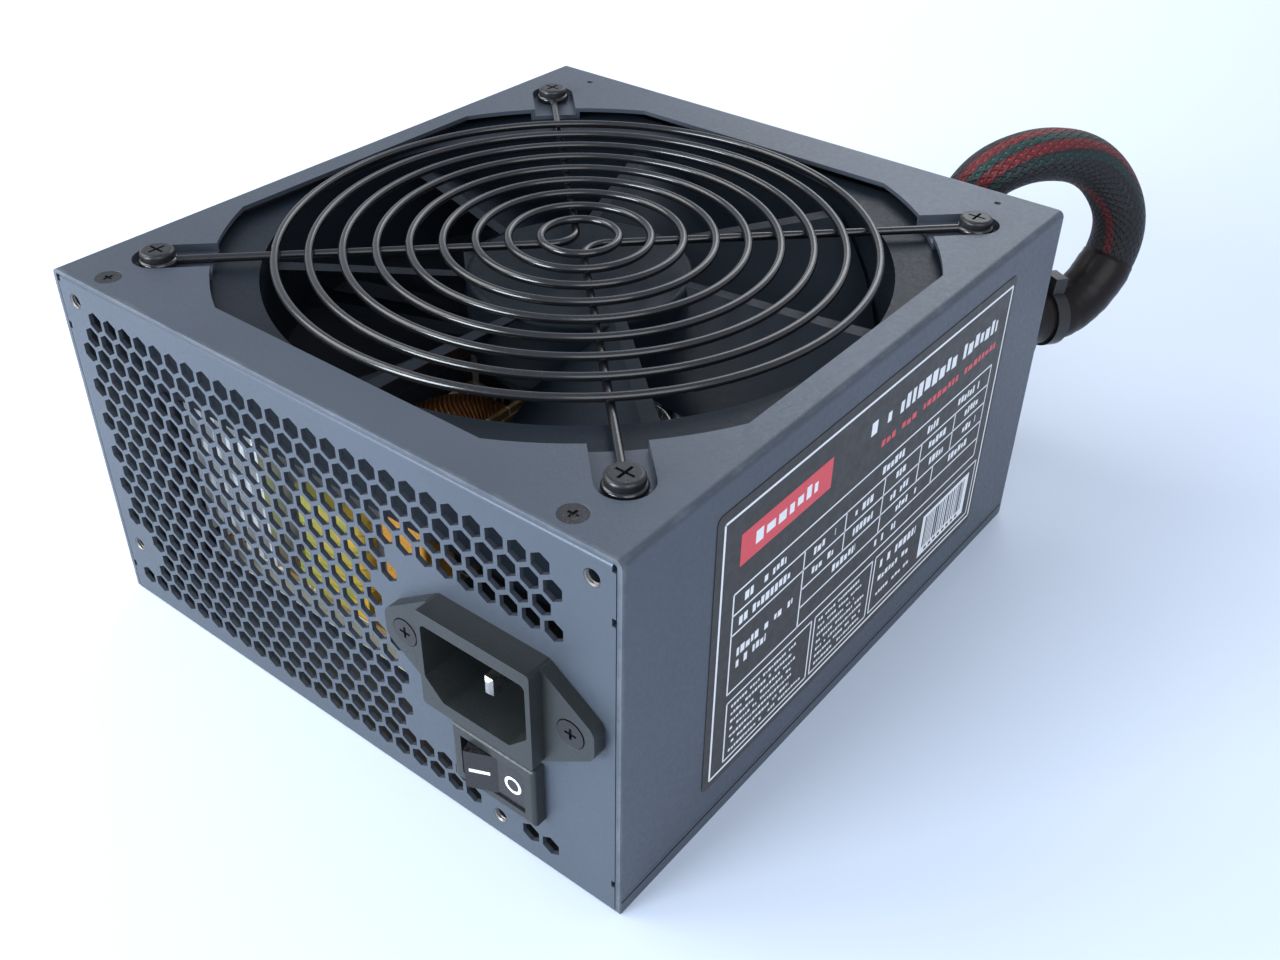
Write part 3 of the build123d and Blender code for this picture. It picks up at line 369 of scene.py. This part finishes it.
# Finishes with a fine grain: colour, roughness and the settings that differ from the usual.
GRAINED_FINISHES = {
    "black_wire": ((0.007, 0.007, 0.008), 0.22,
        dict(fine=700.0, bump=0.05, coat=0.25, dust=0.1, spread=0.05)),
    "black_screw": ((0.03, 0.03, 0.032), 0.34, dict(metallic=0.6, fine=1500.0, bump=0.2, dust=0.3)),
    "fan_plastic": ((0.009, 0.013, 0.019), 0.42, dict(fine=1400.0, bump=0.1, shine=0.16)),
    "black_plastic": ((0.017, 0.020, 0.021), 0.4, dict(fine=1900.0, bump=0.2, dust=0.07, shine=0.4)),
    "rocker_plastic": ((0.008, 0.008, 0.009), 0.26, dict(fine=1500.0, bump=0.12, dust=0.2)),
    "tinned": ((0.55, 0.54, 0.51), 0.32, dict(metallic=1.0, fine=900.0, bump=0.08)),
    "steel": ((0.55, 0.56, 0.58), 0.3, dict(metallic=1.0, fine=900.0, bump=0.1)),
    "cut_thread": ((0.20, 0.19, 0.18), 0.45, dict(metallic=0.9, fine=1500.0, bump=0.2)),
    "seam": ((0.006, 0.006, 0.007), 0.6, dict(fine=900.0, bump=0.1, shine=0.15)),
    "brass": ((0.75, 0.56, 0.26), 0.3, dict(metallic=1.0, fine=900.0, bump=0.1)),
    "magnet": ((0.05, 0.05, 0.05), 0.6, dict(fine=900.0)),
    "stator_steel": ((0.4, 0.4, 0.41), 0.45, dict(metallic=0.9, fine=2200.0, bump=0.3)),
    "wire_insulation": ((0.02, 0.02, 0.02), 0.38, dict(fine=500.0, bump=0.05)),
    "sheet_film": ((0.62, 0.62, 0.52), 0.4, dict(fine=600.0, bump=0.05)),
    "bare_aluminium": ((0.86, 0.87, 0.88), 0.42, dict(metallic=0.75, fine=1600.0, bump=0.12, dust=0.2)),
    "epoxy_black": ((0.02, 0.02, 0.02), 0.5, dict(fine=1600.0, bump=0.3)),
    "ferrite": ((0.045, 0.045, 0.05), 0.55, dict(fine=1300.0, bump=0.3)),
    "yellow_box": ((0.50, 0.22, 0.02), 0.3, dict(fine=900.0, bump=0.1)),
    "fuse_metal": ((0.7, 0.7, 0.68), 0.25, dict(metallic=1.0, fine=700.0)),
    "nylon": ((0.010, 0.010, 0.010), 0.36, dict(fine=900.0, bump=0.1)),
    "shrink_tube": ((0.009, 0.0065, 0.006), 0.36,
        dict(fine=260.0, bump=0.3, patches=0.25, distance=0.0004, shine=0.18)),
    "wire_bundle": ((0.30, 0.02, 0.02), 0.35, dict(fine=700.0, bump=0.05)),
    "plug_plastic": ((0.012, 0.012, 0.013), 0.36, dict(fine=1300.0, bump=0.12)),
    "mark_white": ((0.80, 0.81, 0.82), 0.4, dict(fine=1200.0, bump=0.03, patches=0.04)),
}


def build_finishes(scene):
    """One finish for each material slot of the part."""
    build_effects()
    case, label, harness = scene.case_look, scene.label_look, scene.harness_look
    made = {"case_paint": case_paint(case), "braid": braid_material(harness)}
    for name, (colour, roughness, settings) in GRAINED_FINISHES.items():
        made[name] = grained(name, colour, roughness, **settings)
    made["label_film"] = grained("label_film", tuple(label.film), 0.42, fine=500.0, bump=0.06,
                                 patches=0.06, shine=0.25)
    made["copper_coil"] = wound_copper("copper_coil", 2300.0)
    made["board_laminate"] = board_laminate()
    made["yellow_tape"] = taped("yellow_tape", (0.38, 0.37, 0.07))
    made["capacitor_film"] = capacitor_film()
    made["ink"] = grained("ink", tuple(label.ink), 0.4, fine=1500.0, bump=0.03, patches=0.05)
    made["accent_ink"] = grained("accent_ink", tuple(label.accent), 0.36, fine=1500.0, bump=0.03,
                                 patches=0.05)
    for name, colour in WIRE_COLOURS.items():
        made["wire_" + name] = grained("wire_" + name, colour, 0.34, fine=700.0, bump=0.05, patches=0.05)
    return made


def wound_copper(name, turns):
    """Enamelled copper with the ridges of its turns, painted dark in the grooves and bright on the crests as
    painted shade and highlight.
    """
    made, tree, shader = start_material(name)
    place = object_coords(tree)
    wave = add_node(tree, "ShaderNodeTexWave", {"Vector": place, "Scale": turns / 6.3, "Distortion": 0.6,
                                                "Detail": 1.0}, bands_direction="DIAGONAL")
    # painted shade and highlight: the colour runs dark in the grooves between turns and bright on their
    # crests
    base = blend_colour(tree, wave.outputs[1], (0.18, 0.05, 0.015), (0.60, 0.24, 0.07))
    tree.links.new(base, shader.inputs["Base Color"])
    tree.links.new(ramp(tree, wave.outputs[1], 0, 1, 0.4, 0.22), shader.inputs["Roughness"])
    shader.inputs["Metallic"].default_value = 0.75
    bump_into(tree, shader, wave.outputs[1], 0.8, 0.0004)
    return made


def taped(name, colour):
    """Smooth tape with the edges of its overlapping turns, amber on the windings' inlet side."""
    made, tree, shader = start_material(name)
    place = object_coords(tree)
    height = add_node(tree, "ShaderNodeSeparateXYZ", {0: place}).outputs[2]
    turn = calc(tree, "FRACT", calc(tree, "MULTIPLY", height, 210.0))
    step = ramp(tree, turn, 0.0, 0.12)
    mottle = noise(tree, place, 220.0, 3.0)
    side = ramp(tree, add_node(tree, "ShaderNodeSeparateXYZ", {0: place}).outputs[0], -0.033, -0.016)
    colour_here = blend_colour(tree, side, colour, AMBER)
    base = blend_colour(tree, ramp(tree, mottle, 0.35, 0.65), colour_here, tuple(c * 0.75 for c in colour))
    base = blend_colour(tree, calc(tree, "SUBTRACT", 1.0, step), base, tuple(c * 0.5 for c in colour))
    tree.links.new(base, shader.inputs["Base Color"])
    tree.links.new(ramp(tree, mottle, 0.3, 0.7, 0.28, 0.42), shader.inputs["Roughness"])
    bump_into(tree, shader, step, 0.5, 0.0003)
    return made


def board_laminate():
    """Board laminate with lighter printed outlines over a fibrous tone."""
    made, tree, shader = start_material("board_laminate")
    place = object_coords(tree)
    cells = add_node(tree, "ShaderNodeTexVoronoi", {"Vector": place, "Scale": 130.0},
                     distance="CHEBYCHEV", feature="F1")
    reach = cells.outputs[0]
    outline = calc(tree, "MULTIPLY", ramp(tree, reach, 0.42, 0.45), ramp(tree, reach, 0.50, 0.47))
    fibre = noise(tree, place, 900.0, 4.0, 0.6)
    base = blend_colour(tree, ramp(tree, fibre, 0.3, 0.7), (0.20, 0.12, 0.04), (0.30, 0.19, 0.07))
    base = blend_colour(tree, outline, base, (0.7, 0.68, 0.6))
    tree.links.new(base, shader.inputs["Base Color"])
    tree.links.new(ramp(tree, fibre, 0.3, 0.7, 0.35, 0.5), shader.inputs["Roughness"])
    bump_into(tree, shader, fibre, 0.15, 0.0001)
    return made


def capacitor_film():
    """Shrunk sleeve with a pale stripe and a bright scored top."""
    made, tree, shader = start_material("capacitor_film")
    place = object_coords(tree)
    normal = add_node(tree, "ShaderNodeNewGeometry").outputs["Normal"]
    parts = add_node(tree, "ShaderNodeSeparateXYZ", {0: normal})
    top = ramp(tree, parts.outputs[2], 0.80, 0.95)
    stripe = calc(tree, "MULTIPLY", ramp(tree, parts.outputs[0], 0.86, 0.88), ramp(tree, top, 0.5, 0.0))
    mottle = noise(tree, place, 500.0, 3.0)
    sleeve = blend_colour(tree, ramp(tree, mottle, 0.3, 0.7), (0.012, 0.020, 0.05), (0.02, 0.03, 0.07))
    base = blend_colour(tree, stripe, sleeve, (0.6, 0.62, 0.62))
    base = blend_colour(tree, top, base, (0.72, 0.73, 0.74))
    tree.links.new(base, shader.inputs["Base Color"])
    tree.links.new(calc(tree, "MULTIPLY", top, 0.9), shader.inputs["Metallic"])
    tree.links.new(ramp(tree, mottle, 0.3, 0.7, 0.2, 0.34), shader.inputs["Roughness"])
    bump_into(tree, shader, mottle, 0.1, 0.0001)
    return made


# ---------------------------------------------------------------- mesh helpers
def add_box(bm, low, high):
    """Adds a box between two corners in millimetres and returns its vertices."""
    size = [(b - a) * MM for a, b in zip(low, high)]
    centre = [(a + b) / 2 * MM for a, b in zip(low, high)]
    matrix = Matrix.Translation(centre) @ Matrix.Diagonal((*size, 1.0))
    return bmesh.ops.create_cube(bm, size=1.0, matrix=matrix)["verts"]


def finish_piece(name, bm, materials, body="case", smooth=True):
    """Turns a bmesh into a piece that rides on a body."""
    mesh = bpy.data.meshes.new(name)
    bm.to_mesh(mesh)
    bm.free()
    mesh.polygons.foreach_set("use_smooth", [smooth] * len(mesh.polygons))
    made = bpy.data.objects.new(name, mesh)
    bpy.context.scene.collection.objects.link(made)
    for material in materials:
        mesh.materials.append(material)
    if smooth:
        mesh.set_sharp_from_angle(angle=radians(35))
    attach(made, body)
    return made


def finish_of(name):
    return bpy.data.materials["psu_" + name]


# ---------------------------------------------------------------- pieces
class POWERSUPPLY_OT_stage(Operator):
    """Add the floor, the soft lights and the camera"""
    bl_idname = "power_supply.stage"
    bl_label = "Stage"

    def execute(self, context):
        look = context.scene.stage_look
        self.add_floor(look)
        self.add_lights()
        self.add_camera(context)
        context.scene.view_settings.view_transform = "Standard"
        context.scene.view_settings.look = "None"
        return {"FINISHED"}

    def add_floor(self, look):
        made, tree, shader = start_material("floor_paper")
        place = object_coords(tree)
        soft = noise(tree, place, 3.0, 2.0)
        colour = tuple(look.floor)
        # painted shade: the floor darkens and turns bluer towards +x, away from the window light
        painted_falloff_ramp = ramp(tree, add_node(tree, "ShaderNodeSeparateXYZ", {0: place}).outputs[0], -0.25, 0.35)
        shade = calc(tree, "ADD", painted_falloff_ramp, ramp(tree, soft, 0.3, 0.7, -0.04, 0.04), clamp=True)
        base = blend_colour(tree, shade, colour, (colour[0] * 0.68, colour[1] * 0.72, colour[2] * 0.80))
        tree.links.new(base, shader.inputs["Base Color"])
        shader.inputs["Roughness"].default_value = 0.75
        bm = bmesh.new()
        bmesh.ops.create_grid(bm, x_segments=2, y_segments=2, size=4.0)
        mesh = bpy.data.meshes.new("floor")
        bm.to_mesh(mesh)
        bm.free()
        floor = bpy.data.objects.new("floor", mesh)
        mesh.materials.append(made)
        bpy.context.scene.collection.objects.link(floor)

    def add_lights(self):
        world = bpy.data.worlds.new("studio")
        world.use_nodes = True
        tree = world.node_tree
        tree.nodes.clear()
        place = add_node(tree, "ShaderNodeTexCoord").outputs["Generated"]
        up = add_node(tree, "ShaderNodeSeparateXYZ", {0: place}).outputs[2]
        sky = blend_colour(tree, ramp(tree, up, -0.1, 0.7), (0.93, 0.96, 1.0), (0.62, 0.70, 0.84))
        background = add_node(tree, "ShaderNodeBackground", {"Color": sky, "Strength": 0.86})
        output = add_node(tree, "ShaderNodeOutputWorld")
        tree.links.new(background.outputs[0], output.inputs[0])
        bpy.context.scene.world = world
        for name, place, target, size, power, colour in LIGHTS:
            data = bpy.data.lights.new(name, "AREA")
            data.size, data.energy, data.color = size, power, colour
            lamp = bpy.data.objects.new(name, data)
            lamp.location = place
            lamp.rotation_euler = (Vector(target) - Vector(place)).to_track_quat("-Z", "Y").to_euler()
            bpy.context.scene.collection.objects.link(lamp)

    def add_camera(self, context):
        azimuth, elevation = radians(CAMERA_AZIMUTH), radians(CAMERA_ELEVATION)
        roll = radians(CAMERA_ROLL)
        back = Vector((sin(azimuth) * cos(elevation), -cos(azimuth) * cos(elevation), sin(elevation)))
        right = Vector((0, 0, 1)).cross(back).normalized()
        up = back.cross(right)
        rolled_right = cos(roll) * right + sin(roll) * up
        rolled_up = -sin(roll) * right + cos(roll) * up
        data = bpy.data.cameras.new("camera")
        data.sensor_width, data.lens = SENSOR_WIDTH, LENS
        data.clip_start = 0.01
        camera = bpy.data.objects.new("camera", data)
        turn = Matrix((rolled_right, rolled_up, back)).transposed().to_4x4()
        camera.matrix_world = Matrix.Translation(CAMERA_AT) @ turn
        context.scene.collection.objects.link(camera)
        context.scene.camera = camera


def route_points(name, points, samples=18):
    """Points along the smooth line that a route's control points give."""
    data = bpy.data.curves.new(name, "CURVE")
    data.dimensions = "3D"
    spline = data.splines.new("NURBS")
    spline.points.add(len(points) - 1)
    for point, place in zip(spline.points, points):
        point.co = (*place, 1.0)
    spline.order_u = 3
    spline.use_endpoint_u = True
    data.resolution_u = samples
    holder = bpy.data.objects.new(name, data)
    mesh = bpy.data.meshes.new_from_object(holder)
    line = [v.co.copy() for v in mesh.vertices]
    bpy.data.objects.remove(holder)
    bpy.data.curves.remove(data)
    bpy.data.meshes.remove(mesh)
    return line


def ring_frames(line):
    """Frames carried along a line without twist: place, heading and side for each point."""
    frames = []
    side = None
    for index, place in enumerate(line):
        ahead = line[min(index + 1, len(line) - 1)] - line[max(index - 1, 0)]
        heading = ahead.normalized()
        if side is None:
            side = heading.orthogonal().normalized()
        side = (side - heading * side.dot(heading)).normalized()
        frames.append((place, heading, side))
    return frames


def sweep_tube(line, radius, around=32, uv_name="along_round"):
    """Tube along a line, made by extruding a ring, mapped by length along and turn around."""
    frames = ring_frames(line)
    bm = bmesh.new()
    uv = bm.loops.layers.uv.new(uv_name)

    def pose(index):
        place, heading, side = frames[index]
        return Matrix.Translation(place) @ Matrix((side, heading.cross(side), heading)).transposed().to_4x4()

    def radius_at(index):
        return radius(index) if callable(radius) else radius

    first = bmesh.ops.create_circle(bm, cap_ends=False, segments=around, radius=radius_at(0), matrix=pose(0))
    ring = first["verts"]
    rings = [ring]
    edges = list(bm.edges)
    for index in range(1, len(frames)):
        grown = bmesh.ops.extrude_edge_only(bm, edges=edges)["geom"]
        edges = [g for g in grown if isinstance(g, bmesh.types.BMEdge)
                 and all(v in grown for v in g.verts)]
        fresh = [g for g in grown if isinstance(g, bmesh.types.BMVert)]
        grow = radius_at(index) / radius_at(index - 1)
        change = pose(index) @ Matrix.Diagonal((grow, grow, grow, 1)) @ pose(index - 1).inverted()
        bmesh.ops.transform(bm, matrix=change, verts=fresh)
        edges = [e for e in edges if all(v in set(fresh) for v in e.verts)]
        rings.append(fresh)
    lengths = [0.0]
    for a, b in zip(line, line[1:]):
        lengths.append(lengths[-1] + (b - a).length)
    where = {}
    for index, ring in enumerate(rings):
        inverse = pose(index).inverted()
        for vert in ring:
            local = inverse @ vert.co
            where[vert] = (lengths[index], (atan2(local.y, local.x) / (2 * pi)) % 1.0)
    for face in bm.faces:
        turns = [where[loop.vert][1] for loop in face.loops]
        wraps = max(turns) - min(turns) > 0.5
        for loop in face.loops:
            length, turn = where[loop.vert]
            loop[uv].uv = (length, turn + 1.0 if wraps and turn < 0.5 else turn)
    bmesh.ops.recalc_face_normals(bm, faces=bm.faces)
    return bm, lengths[-1]


class POWERSUPPLY_OT_harness(Operator):
    """Build the braided harness, its heat-shrink and the loose wires at its connector"""
    bl_idname = "power_supply.harness"
    bl_label = "Harness"

    def execute(self, context):
        look = context.scene.harness_look
        line = route_points("harness_route", HARNESS_ROUTE)
        bm, length = sweep_tube(line, look.diameter / 2)
        sleeve = finish_piece("braided_sleeve", bm, [finish_of("braid")])
        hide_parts("harness")
        shrink = self.add_shrink(line, look)
        wires = self.add_wires()
        return {"FINISHED"}

    def add_shrink(self, line, look):
        """Heat-shrink that hugs the start of the sleeve, a little uneven, with a lip at its end."""
        total, count = 0.0, 1
        while total < look.shrink:
            total += (line[count] - line[count - 1]).length
            count += 1
        part = line[:count]
        rng = random.Random(4)
        bulge = [rng.uniform(-0.00008, 0.00008) for _ in part]

        def radius(index):
            base = look.diameter / 2 + 0.00042 + bulge[index]
            if index >= count - 2:
                return base - 0.00018
            return base

        bm, _ = sweep_tube(part, radius)
        piece = finish_piece("heat_shrink", bm, [finish_of("shrink_tube")])
        thick = piece.modifiers.new("wall", "SOLIDIFY")
        thick.thickness, thick.offset = 0.0004, -1.0
        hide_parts("harness_shrink")
        return piece

    def add_wires(self):
        """Loose wires from the end of the sleeve to each way of the connector."""
        order = ["orange", "orange", "black", "red", "black", "red", "black", "grey", "violet", "yellow",
                 "yellow", "orange", "orange", "blue", "black", "green", "black", "black", "black", "black",
                 "red", "red", "red", "black"]
        data = bpy.data.curves.new("connector_wires", "CURVE")
        data.dimensions = "3D"
        data.bevel_depth, data.bevel_resolution, data.resolution_u = 0.00078, 2, 8
        names = sorted(set(order))
        for name in names:
            data.materials.append(finish_of("wire_" + name))
        x0, y0, z0 = HARNESS_END
        for k, name in enumerate(order):
            row, column = divmod(k, 12)
            angle = 2 * pi * k / 24
            ring = 0.0046 if k % 3 else 0.0022
            start = Vector((x0 - 0.004, y0 + ring * cos(angle), z0 + ring * sin(angle)))
            end = Vector((x0 + 0.0362, y0 + (column - 5.5) * 0.0042, 0.0049 + (row - 0.5) * 0.0040))
            spline = data.splines.new("BEZIER")
            spline.bezier_points.add(2)
            middle = start.lerp(end, 0.55) + Vector((0, 0, 0.0006 * sin(k * 2.1)))
            for point, place, reach in zip(spline.bezier_points, (start, middle, end), (0.007, 0.006, 0.008)):
                point.co = place
                lean = Vector((1, 0, 0)) if place is not middle else (end - start).normalized()
                point.handle_left = place - lean * reach
                point.handle_right = place + lean * reach
            spline.material_index = names.index(name)
        wires = bpy.data.objects.new("connector_wires", data)
        bpy.context.scene.collection.objects.link(wires)
        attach(wires, "case")
        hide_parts("wire_fan")
        return wires


class POWERSUPPLY_OT_label(Operator):
    """Print the frame, table, badge and small marks on the rating label"""
    bl_idname = "power_supply.label"
    bl_label = "Rating label"

    def execute(self, context):
        look = context.scene.label_look
        half = look.line / MM / 2
        white, red = bmesh.new(), bmesh.new()

        def fill(bm, y0, y1, z0, z1, lift=0.025):
            add_box(bm, (LABEL_FACE, y0, z0), (LABEL_FACE + lift, y1, z1))

        def line_y(y0, y1, z, bm=white, scale=1.0):
            fill(bm, y0, y1, z - half * scale, z + half * scale)

        def line_z(y, z0, z1, bm=white, scale=1.0):
            fill(bm, y - half * scale, y + half * scale, z0, z1)

        def frame_box(y0, y1, z0, z1, scale=1.0):
            line_y(y0, y1, z0, scale=scale)
            line_y(y0, y1, z1, scale=scale)
            line_z(y0, z0, z1, scale=scale)
            line_z(y1, z0, z1, scale=scale)

        rng = random.Random(11)

        def words(bm, y0, y1, z, tall, wide, space=0.35, gap_chance=0.16, lift=0.02):
            """A row of small dashes in place of words."""
            y = y0
            while y < y1:
                width = wide * rng.uniform(0.6, 1.15)
                if rng.random() > gap_chance:
                    low = z + (tall * rng.choice((0, 0, 0.12)))
                    fill(bm, y, min(y + width, y1), low, z + tall * rng.choice((1, 1, 0.78)), lift)
                y += width + wide * space

        frame_box(-52.5, 57.0, 13.0, 76.5, 1.4)
        frame_box(-48.3, 53.2, 33.2, 58.2)
        line_y(-48.3, 53.2, 53.0)
        line_y(-48.3, 53.2, 48.1)
        line_y(-24.0, 53.2, 43.0)
        line_y(-24.0, 53.2, 38.2)
        line_z(-24.0, 33.2, 53.0)
        for y in (-8.6, 6.8, 22.2, 37.6):
            line_z(y, 43.0, 53.0)
        for y in (6.8, 30.0):
            line_z(y, 38.2, 43.0)
        frame_box(-48.0, -18.0, 14.6, 30.6)
        frame_box(-16.6, 6.6, 14.6, 30.6)
        frame_box(8.0, 55.4, 14.6, 30.6)
        # badge, title bar and the thin line under it
        fill(red, -47.2, -17.0, 64.0, 71.2)
        words(red, 2.5, 53.0, 62.7, 1.6, 1.7)
        words(white, -6.0, 52.0, 67.5, 3.6, 2.1, 0.42, 0.06)
        words(white, -42.5, -22.0, 66.2, 2.9, 2.6, 0.4, 0.0, 0.04)
        # table entries
        for y, z, width in ((-46, 54.5, 15), (2, 54.5, 12), (24, 54.5, 5), (38, 54.5, 10), (-46, 49.4, 17),
                            (-46, 41.6, 19), (-46, 38.4, 10)):
            words(white, y, y + width, z, 2.0, 1.2)
        for y in (-22.0, -6.4, 9.0, 24.4, 40.0):
            for z in (49.6, 44.6):
                words(white, y + 1.5, y + 9.5, z, 1.9, 1.2)
        for y, z in ((-12, 39.7), (14, 39.7), (38, 39.7), (6, 34.8)):
            words(white, y, y + 9, z, 1.9, 1.2)
        # small print and bar marks
        for y0, y1 in ((-46.4, -20.0), (-15.0, 5.0)):
            for row in range(7):
                words(white, y0, y1 - 6 * rng.random(), 28.3 - 2.05 * row, 0.75, 0.8)
        words(white, 10.5, 26.5, 26.2, 2.2, 1.5)
        words(white, 10.5, 24.0, 22.2, 1.6, 1.3)
        words(white, 10.5, 26.0, 18.0, 1.0, 1.0)
        fill(white, 30.0, 52.6, 16.4, 28.6, 0.015)
        finish_piece("label_print", white, [finish_of("ink")], smooth=False)
        finish_piece("label_badge", red, [finish_of("accent_ink")], smooth=False)
        bars = bmesh.new()
        y = 31.5
        while y < 51.0:
            width = rng.choice((0.3, 0.3, 0.55, 0.8))
            add_box(bars, (LABEL_FACE + BAR_LIFT, y, 18.6), (LABEL_FACE + 0.03, y + width, 27.6))
            y += width + rng.choice((0.3, 0.45, 0.6))
        for k in range(8):
            left = 33.0 + 2.2 * k
            add_box(bars, (LABEL_FACE + BAR_LIFT, left, 17.1), (LABEL_FACE + 0.03, left + 1.2, 17.9))
        finish_piece("label_bars", bars, [finish_of("label_film")], smooth=False)
        return {"FINISHED"}


class POWERSUPPLY_OT_hole_rims(Operator):
    """Line the case-screw holes with cut threads and draw the seam along the foot of each side as a
    near-black strip of painted shade
    """
    bl_idname = "power_supply.hole_rims"
    bl_label = "Rims and seams"

    def execute(self, context):
        bm = bmesh.new()
        for x, z in SCREW_HOLES:
            for turn in range(4):
                radii = [(HOLE_R - THREAD_DEEP) * MM, (HOLE_R - THREAD_SHALLOW) * MM]
                if turn % 2:
                    radii.reverse()
                y = THREAD_STEP * turn + 0.16 - CASE_Y / MM
                place = Matrix.Translation((x * MM, y * MM, z * MM))
                bmesh.ops.create_cone(bm, cap_ends=False, segments=32, radius1=radii[0], radius2=radii[1],
                                      depth=THREAD_STEP * MM,
                                      matrix=place @ Matrix.Rotation(radians(90), 4, "X"))
        finish_piece("hole_rims", bm, [finish_of("cut_thread")])
        # painted shade: a near-black strip stands in for the shaded gap where the cover meets the tray
        seams = bmesh.new()
        for side in (-1, 1):
            inner, outer = sorted((side * 74.9, side * 75.04))
            add_box(seams, (inner, -79.4, SEAM_LOW), (outer, 79.4, SEAM_HIGH))
        finish_piece("side_seam_shade", seams, [finish_of("seam")], smooth=False)
        return {"FINISHED"}


class POWERSUPPLY_OT_switch_marks(Operator):
    """Add the on and off marks to the rocker's two faces"""
    bl_idname = "power_supply.switch_marks"
    bl_label = "Switch marks"

    def execute(self, context):
        x, z = SWITCH_AT
        bm = bmesh.new()
        bar = add_box(bm, (-2.1, -0.05, -0.38), (2.1, 0.03, 0.38))
        place = Matrix.Translation(((x - 2.3) * MM, (SWITCH_PIVOT_Y - 6.60) * MM, z * MM))
        bmesh.ops.transform(bm, matrix=place @ Matrix.Rotation(radians(ROCKER_TILT), 4, "Z"), verts=bar)
        centre = Vector(((x + 4.8) * MM, (SWITCH_PIVOT_Y - 5.12) * MM, z * MM))
        self.add_ring(bm, centre, radius=2.05 * MM, width=0.62 * MM)
        finish_piece("switch_marks", bm, [finish_of("mark_white")], body="rocker")
        return {"FINISHED"}

    def add_ring(self, bm, centre, radius, width):
        """Flat ring facing the front."""
        profile = [bm.verts.new((radius, -0.00003, 0)), bm.verts.new((radius - width, -0.00003, 0)),
                   bm.verts.new((radius - width, 0.00003, 0)), bm.verts.new((radius, 0.00003, 0))]
        edges = [bm.edges.new((profile[k], profile[(k + 1) % 4])) for k in range(4)]
        bmesh.ops.spin(bm, geom=profile + edges, cent=(0, 0, 0), axis=(0, 1, 0), dvec=(0, 0, 0),
                       angle=2 * pi, steps=40, use_merge=True)
        fresh = {v for e in edges for v in e.verts}
        queue = list(fresh)
        while queue:
            vert = queue.pop()
            for edge in vert.link_edges:
                other = edge.other_vert(vert)
                if other not in fresh:
                    fresh.add(other)
                    queue.append(other)
        verts = list(fresh)
        bmesh.ops.recalc_face_normals(bm, faces=list({f for v in verts for f in v.link_faces}))
        bmesh.ops.translate(bm, vec=centre, verts=verts)


class POWERSUPPLY_OT_finishes(Operator):
    """Give every part of the frame its paint, plastic, metal or cloth finish"""
    bl_idname = "power_supply.finishes"
    bl_label = "Finishes"

    def execute(self, context):
        made = build_finishes(context.scene)
        slots = {s["node"]: s["material_slot"] for s in frame["record"]["subparts"]}
        for node, holder in frame["nodes"].items():
            material = made.get(slots.get(node, ""), made["black_plastic"])
            mesh = holder.data
            mesh.materials.clear()
            mesh.materials.append(material)
        return {"FINISHED"}


class VIEW3D_PT_power_supply(Panel):
    """Lists the pieces and their settings"""
    bl_label = "Power Supply"
    bl_space_type = "VIEW_3D"
    bl_region_type = "UI"
    bl_category = "Power Supply"

    def draw(self, context):
        for look in ("case_look", "label_look", "harness_look", "stage_look"):
            box = self.layout.box()
            settings = getattr(context.scene, look)
            for name in settings.__annotations__:
                box.prop(settings, name)
        for made in STEPS:
            self.layout.operator(made.bl_idname)


STEPS = (
    POWERSUPPLY_OT_stage,
    POWERSUPPLY_OT_finishes,
    POWERSUPPLY_OT_harness,
    POWERSUPPLY_OT_label,
    POWERSUPPLY_OT_switch_marks,
    POWERSUPPLY_OT_hole_rims,
)
LOOKS = {"case_look": CaseLook, "label_look": LabelLook, "harness_look": HarnessLook, "stage_look": StageLook}


def register():
    for kind in (*LOOKS.values(), *STEPS, VIEW3D_PT_power_supply):
        bpy.utils.register_class(kind)
    for name, kind in LOOKS.items():
        setattr(bpy.types.Scene, name, PointerProperty(type=kind))


def unregister():
    for name in LOOKS:
        delattr(bpy.types.Scene, name)
    for kind in reversed((*LOOKS.values(), *STEPS, VIEW3D_PT_power_supply)):
        bpy.utils.unregister_class(kind)


def main():
    register()
    bpy.ops.power_supply.stage()
    bpy.ops.power_supply.finishes()
    bpy.ops.power_supply.harness()
    bpy.ops.power_supply.label()
    bpy.ops.power_supply.switch_marks()
    bpy.ops.power_supply.hole_rims()


if __name__ == "__main__":
    main()
